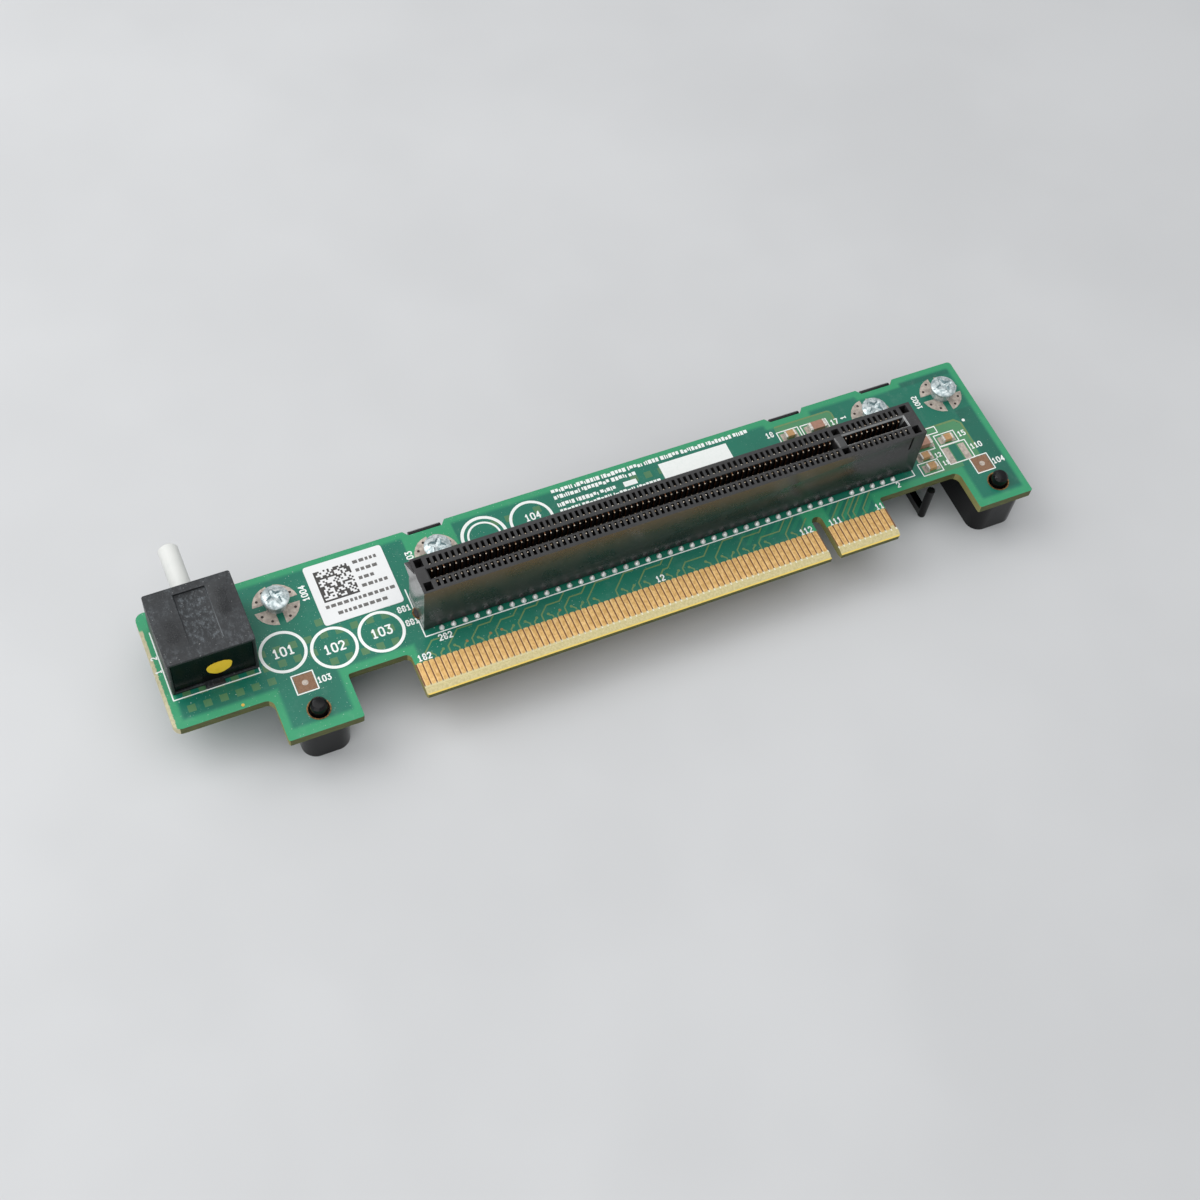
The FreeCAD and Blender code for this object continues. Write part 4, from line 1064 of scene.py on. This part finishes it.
@dataclass
class SlotConnector(Assembly):
    """The long slot: its moulded housing, sprung contacts and the row of solder joints."""

    rounded: tuple = (("slot_housing", BLACK_HOUSING, "housing_plastic", 0.07, 1, CARD),)
    key: float = 5.66
    centre: float = 14.25
    short_side: int = 11
    long_side: int = 71
    outer_row: float = 3.85
    inner_row: float = 1.95
    board_under: float = -0.8
    contact_width: float = 0.13
    contact_thickness: float = 0.1
    tip: tuple = (0.17, 0.17, 0.14)
    tip_lift: float = 0.05
    contact_path: tuple = ((2.55, 3.5), (0.72, 8.6), (0.7, 10.9), (1.65, 11.4))
    bump: tuple = ((0.47, 0), (0.45, 0.16), (0.35, 0.38), (0.2, 0.52), (0.15, 0.7), (0, 0.74))
    tail: tuple = ((0.45, 0), (0.4, -0.2), (0.22, -0.6), (0.16, -1.25), (0, -1.29))

    def contact_places(self) -> list[float]:
        """Lists the X of each contact, from the first one at the right end."""
        right = [self.key + 11.5 - i for i in range(self.short_side)]
        return right + [self.key - 1.5 - i for i in range(self.long_side)]

    def add_pieces(self) -> None:
        """Makes the contacts slender and the solder joints round."""
        self.add_contacts()
        self.add_joints()

    def add_contacts(self) -> None:
        """Makes the slender sprung contacts of both sides, with their bright crests and tips."""
        for node, side in (("slot_contacts_front", -1), ("slot_contacts_rear", 1)):
            blades = Piece(node + "_blades")
            tips = Piece(node + "_tips")
            path = [(self.centre + side * reach, height) for reach, height in self.contact_path]
            for x in self.contact_places():
                for start, end in zip(path, path[1:]):
                    blades.bar(x, start, end, self.contact_width, self.contact_thickness)
                # Small blocks on the crest and at the tip carry a painted highlight.
                for y, z in path[-2:]:
                    tips.cube((x, y, z + self.tip_lift), self.tip)
            blades.finish(CONTACT_METAL, "spring_contact", node)
            tips.finish(CONTACT_HIGHLIGHT, "spring_contact")

    def add_joints(self) -> None:
        """Makes both sides' joints: a bump on the board for the outer row, and a tail under it for all."""
        for node, side in (("solder_joints_front", -1), ("solder_joints_rear", 1)):
            piece = Piece(node + "_round")
            for count, x in enumerate(self.contact_places()):
                y = self.centre + side * (self.outer_row if count % 2 else self.inner_row)
                if count % 2:
                    piece.turned([(radius, BOARD_TOP + rise) for radius, rise in self.bump], x, y, 10)
                piece.turned([(radius, self.board_under + rise) for radius, rise in self.tail], x, y, 8)
            piece.finish(SOLDER, "solder", node, 50)


@dataclass
class Screws(Assembly):
    """Four zinc-plated shoulder screws with a domed head and a cross recess."""

    cross_angles: tuple = (20, 62, 35, 8)
    head_radius: float = 2.25
    neck_radius: float = 1.7
    under_head: float = 2.8
    crown: float = 3.6
    dome: float = 0.42
    dome_steps: int = 12
    shank_radius: float = 1.2
    shank_end: float = -6.2
    arm_reach: float = 1.5
    arm_width: float = 1.1
    recess: float = 0.6

    def add_pieces(self) -> None:
        """Turns the screws and presses the cross into their crowns."""
        piece = Piece("screws_crossed")
        rim = self.crown - self.dome
        profile = [(0, self.crown)]
        for share in (step / self.dome_steps for step in range(1, self.dome_steps + 1)):
            profile.append((self.head_radius * 0.93 * share, self.crown - (self.crown - rim) * share**2.4))
        profile += [
            (self.head_radius, rim - 0.14), (self.head_radius, self.under_head + 0.1),
            (self.head_radius - 0.12, self.under_head), (self.neck_radius, self.under_head),
            (self.neck_radius, BOARD_TOP), (self.shank_radius, BOARD_TOP), (self.shank_radius, self.shank_end),
            (0, self.shank_end),
        ]
        for x, degrees in zip(SCREW_PLACES, self.cross_angles):
            angle = math.radians(degrees)
            for vert in piece.turned(profile, x, SCREW_ROW, 56):
                off = (vert.co.x - x, vert.co.y - SCREW_ROW)
                u = off[0] * math.cos(angle) + off[1] * math.sin(angle)
                v = off[1] * math.cos(angle) - off[0] * math.sin(angle)
                near, far = sorted((abs(u), abs(v)))
                share = far / self.arm_reach
                if vert.co.z >= rim and share < 1 and near < self.arm_width / 2 * (1 - 0.6 * share):
                    piece.place([vert], (0, 0, -self.recess * (1 - 0.7 * share)))
        piece.finish(ZINC, "screw_steel", "mounting_screws", 30)


@dataclass
class CaseSwitch(Assembly):
    """The push switch: housing, inset cover with its painted dot, plunger and works."""

    dressed: tuple = (("switch_contact_bridge", SWITCH_BRASS), ("switch_terminals", SWITCH_BRASS))
    rounded: tuple = (
        ("switch_housing", BLACK_SWITCH, "switch_plastic", 0.14, 2, CARD),
        ("switch_cover", BLACK_COVER, "cover_plastic", 0.08, 2, CARD),
        ("switch_plunger", WHITE_PLUNGER, "plunger_plastic", 0.06, 2, PLUNGER),
    )
    dot_x: float = -100.6
    dot_z: float = 4.5
    dot_blobs: tuple = (
        (0, -0.05, 1.7), (0.45, 0, 1.5), (-0.45, 0.1, 1.5), (1.1, 0.45, 0.95), (-0.85, 0.35, 1.15),
        (0.6, 0.5, 1.15),
    )
    cover_face: float = 14.0
    stroke: float = 3.0
    spring_radius: float = 2.0
    spring_wire: float = 0.4
    spring_turns: int = 5

    def add_pieces(self) -> None:
        """Adds the wound spring and the dot."""
        self.add_spring()
        self.add_dot()

    def add_spring(self) -> None:
        """Winds the return spring, which shortens as the plunger goes in."""
        low, high = (Vector(corner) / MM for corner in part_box("switch_return_spring"))
        middle = Vector(((low.x + high.x) / 2, low.y, (low.z + high.z) / 2))
        length = high.y - low.y
        piece = Piece("switch_return_spring_wound")
        piece.coil(self.spring_radius, self.spring_wire, middle, length, self.spring_turns)
        made = piece.finish(SPRING_STEEL, "spring_steel", "switch_return_spring", 50)
        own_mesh(made)

    def add_dot(self) -> None:
        """Adds the hand-painted dot on the front cover, as blobs that run into each other."""
        piece = Piece("painted_dot")
        for count, (x, z, radius) in enumerate(self.dot_blobs):
            face = self.cover_face - 0.02 - count * 0.006
            piece.circle(radius, (self.dot_x + x, face, self.dot_z + z), 36, turn=(math.pi / 2, 0, 0))
        piece.finish(YELLOW_DOT, "cover_plastic")


@dataclass
class PlainPieces(Assembly):
    """The carrier under the board, and the chip capacitors with tinned ends on it."""

    rounded: tuple = (
        ("carrier", BLACK_CARRIER, "carrier_plastic", 0.1, 2, CARD),
        ("small_capacitor_bodies", TAN_CERAMIC, "tan_ceramic", 0.06, 2, CARD),
        ("large_capacitor_bodies", PINK_CERAMIC, "pink_ceramic", 0.06, 2, CARD),
        ("capacitor_ends", CHIP_TIN, "chip_end_tin", 0.08, 2, CARD),
    )


@dataclass
class PaperLabel(Assembly):
    """White label with a generic square pattern and plain grey dashes."""

    modules: int = 18
    module: float = 0.33
    left: float = -81.5
    front: float = 21.1
    corner: float = 0.5
    middle: tuple = (-76.2, 22.75, 0.85)
    size: tuple = (13.2, 11.4, 0.1)
    rows: tuple = (
        (-74.9, -70.6, 26.75), (-74.9, -71.6, 25.15), (-74.9, -72.2, 23.6), (-74.9, -70.7, 22.1),
        (-81.6, -70.2, 20.2), (-80.1, -72.1, 18.6),
    )
    seed: int = 5

    def add_pieces(self) -> None:
        """Makes the sheet with round corners, and its ink."""
        sheet = Piece("label_sheet")
        sheet.cube(self.middle, self.size)
        upright = [edge for edge in sheet.mesh.edges if abs(edge.verts[0].co.z - edge.verts[1].co.z) > 0.05]
        bmesh.ops.bevel(
            sheet.mesh, geom=upright, offset=self.corner, segments=4, profile=0.5, affect="EDGES", material=-1
        )
        sheet.finish(LABEL_PAPER, "label_paper", "label")
        self.add_ink()

    def add_ink(self) -> None:
        """Adds a generic square pattern, solid along two sides, and rows of small grey blocks."""
        chance = random.Random(self.seed)
        pattern = Piece("label_pattern")
        for row in range(self.modules):
            for column in range(self.modules):
                if row == 0 or column == 0 or chance.random() < 0.52:
                    x = self.left + column * self.module
                    y = self.front + row * self.module
                    pattern.patch(x, x + self.module, y, y + self.module, Level.LABEL)
        pattern.finish(LABEL_INK, "label_paper")
        rows = Piece("label_rows")
        for x, end, y in self.rows:
            while x < end - 0.4:
                width = chance.choice((0.45, 0.6, 0.8))
                rows.patch(x, x + width, y - 0.3, y + 0.3, Level.LABEL)
                x += width + 0.26
        rows.finish(LABEL_GREY, "label_paper")


@dataclass
class Studio:
    """Plain pale floor, soft lights and the camera of the photograph."""

    floor: float = -9.2
    floor_size: float = 4000.0
    world_light: Point2 = (0.42, 0.7)
    world_tone: tuple = (240, 242, 245)
    lights: tuple = (
        ("key", (-0.36, 0.24, 0.42), 0.42, 1.65), ("top", (0.06, 0.02, 0.62), 0.60, 1.45),
        ("fill", (-0.42, -0.34, 0.30), 0.60, 1.1),
    )
    aim: tuple = (-0.035, 0.015, 0)
    camera_place: tuple = (-120.87, -124.61, 251.47)
    camera_turn: tuple = (31.164, -4.844, -23.682)
    lens: float = 54.85

    def build(self) -> None:
        """Makes the floor, the world, the lights and the camera."""
        floor = Piece("floor")
        floor.sheet(0, 0, self.floor, self.floor_size, self.floor_size)
        floor.finish(PaleFloor(), slot="")
        self.add_world()
        self.add_lights()
        self.add_camera()
        bpy.context.scene.view_settings.view_transform = "Standard"

    def add_world(self) -> None:
        """Sets a pale even world, brighter to the camera and in reflections than on surfaces."""
        world = bpy.data.worlds.new("room")
        bpy.context.scene.world = world
        world.use_nodes = True
        room = Nodes(world.node_tree)
        path = room.node("ShaderNodeLightPath").outputs
        seen = path["Is Camera Ray"]
        for ray in ("Is Glossy Ray", "Is Transmission Ray"):
            seen = room.node("ShaderNodeMath", {0: seen, 1: path[ray]}, operation="MAXIMUM").outputs[0]
        low, high = self.world_light
        strength = room.node("ShaderNodeMapRange", {"Value": seen, "To Min": low, "To Max": high})
        background = world.node_tree.nodes["Background"].inputs
        room.feed(background["Strength"], strength.outputs[0])
        room.feed(background["Color"], self.world_tone)

    def add_lights(self) -> None:
        """Adds the soft square lights that look at the card; places and sides are in metres."""
        for name, place, size, power in self.lights:
            lamp = bpy.data.lights.new(name, "AREA")
            lamp.shape = "SQUARE"
            lamp.size = size
            lamp.energy = power
            made = stand(name, lamp)
            made.location = place
            made.rotation_euler = (Vector(self.aim) - Vector(place)).to_track_quat("-Z", "Y").to_euler()

    def add_camera(self) -> None:
        """Adds the camera at the photograph's place and angle."""
        lens = bpy.data.cameras.new("camera")
        lens.lens = self.lens
        lens.sensor_width = 36
        lens.clip_start = 0.01
        camera = stand("camera", lens)
        camera.location = [part * MM for part in self.camera_place]
        camera.rotation_euler = [math.radians(angle) for angle in self.camera_turn]
        bpy.context.scene.camera = camera


def main() -> None:
    """Loads the solid model, dresses it and sets the studio round it."""
    logging.basicConfig(level=logging.INFO, format="%(name)s %(message)s")
    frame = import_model()
    for kind in (BoardFace, Print, SlotConnector, Screws, CaseSwitch, PlainPieces, PaperLabel):
        LOG.info("building %s", kind.__name__)
        kind(frame["nodes"]).build()
    Studio().build()


if __name__ == "__main__":
    main()
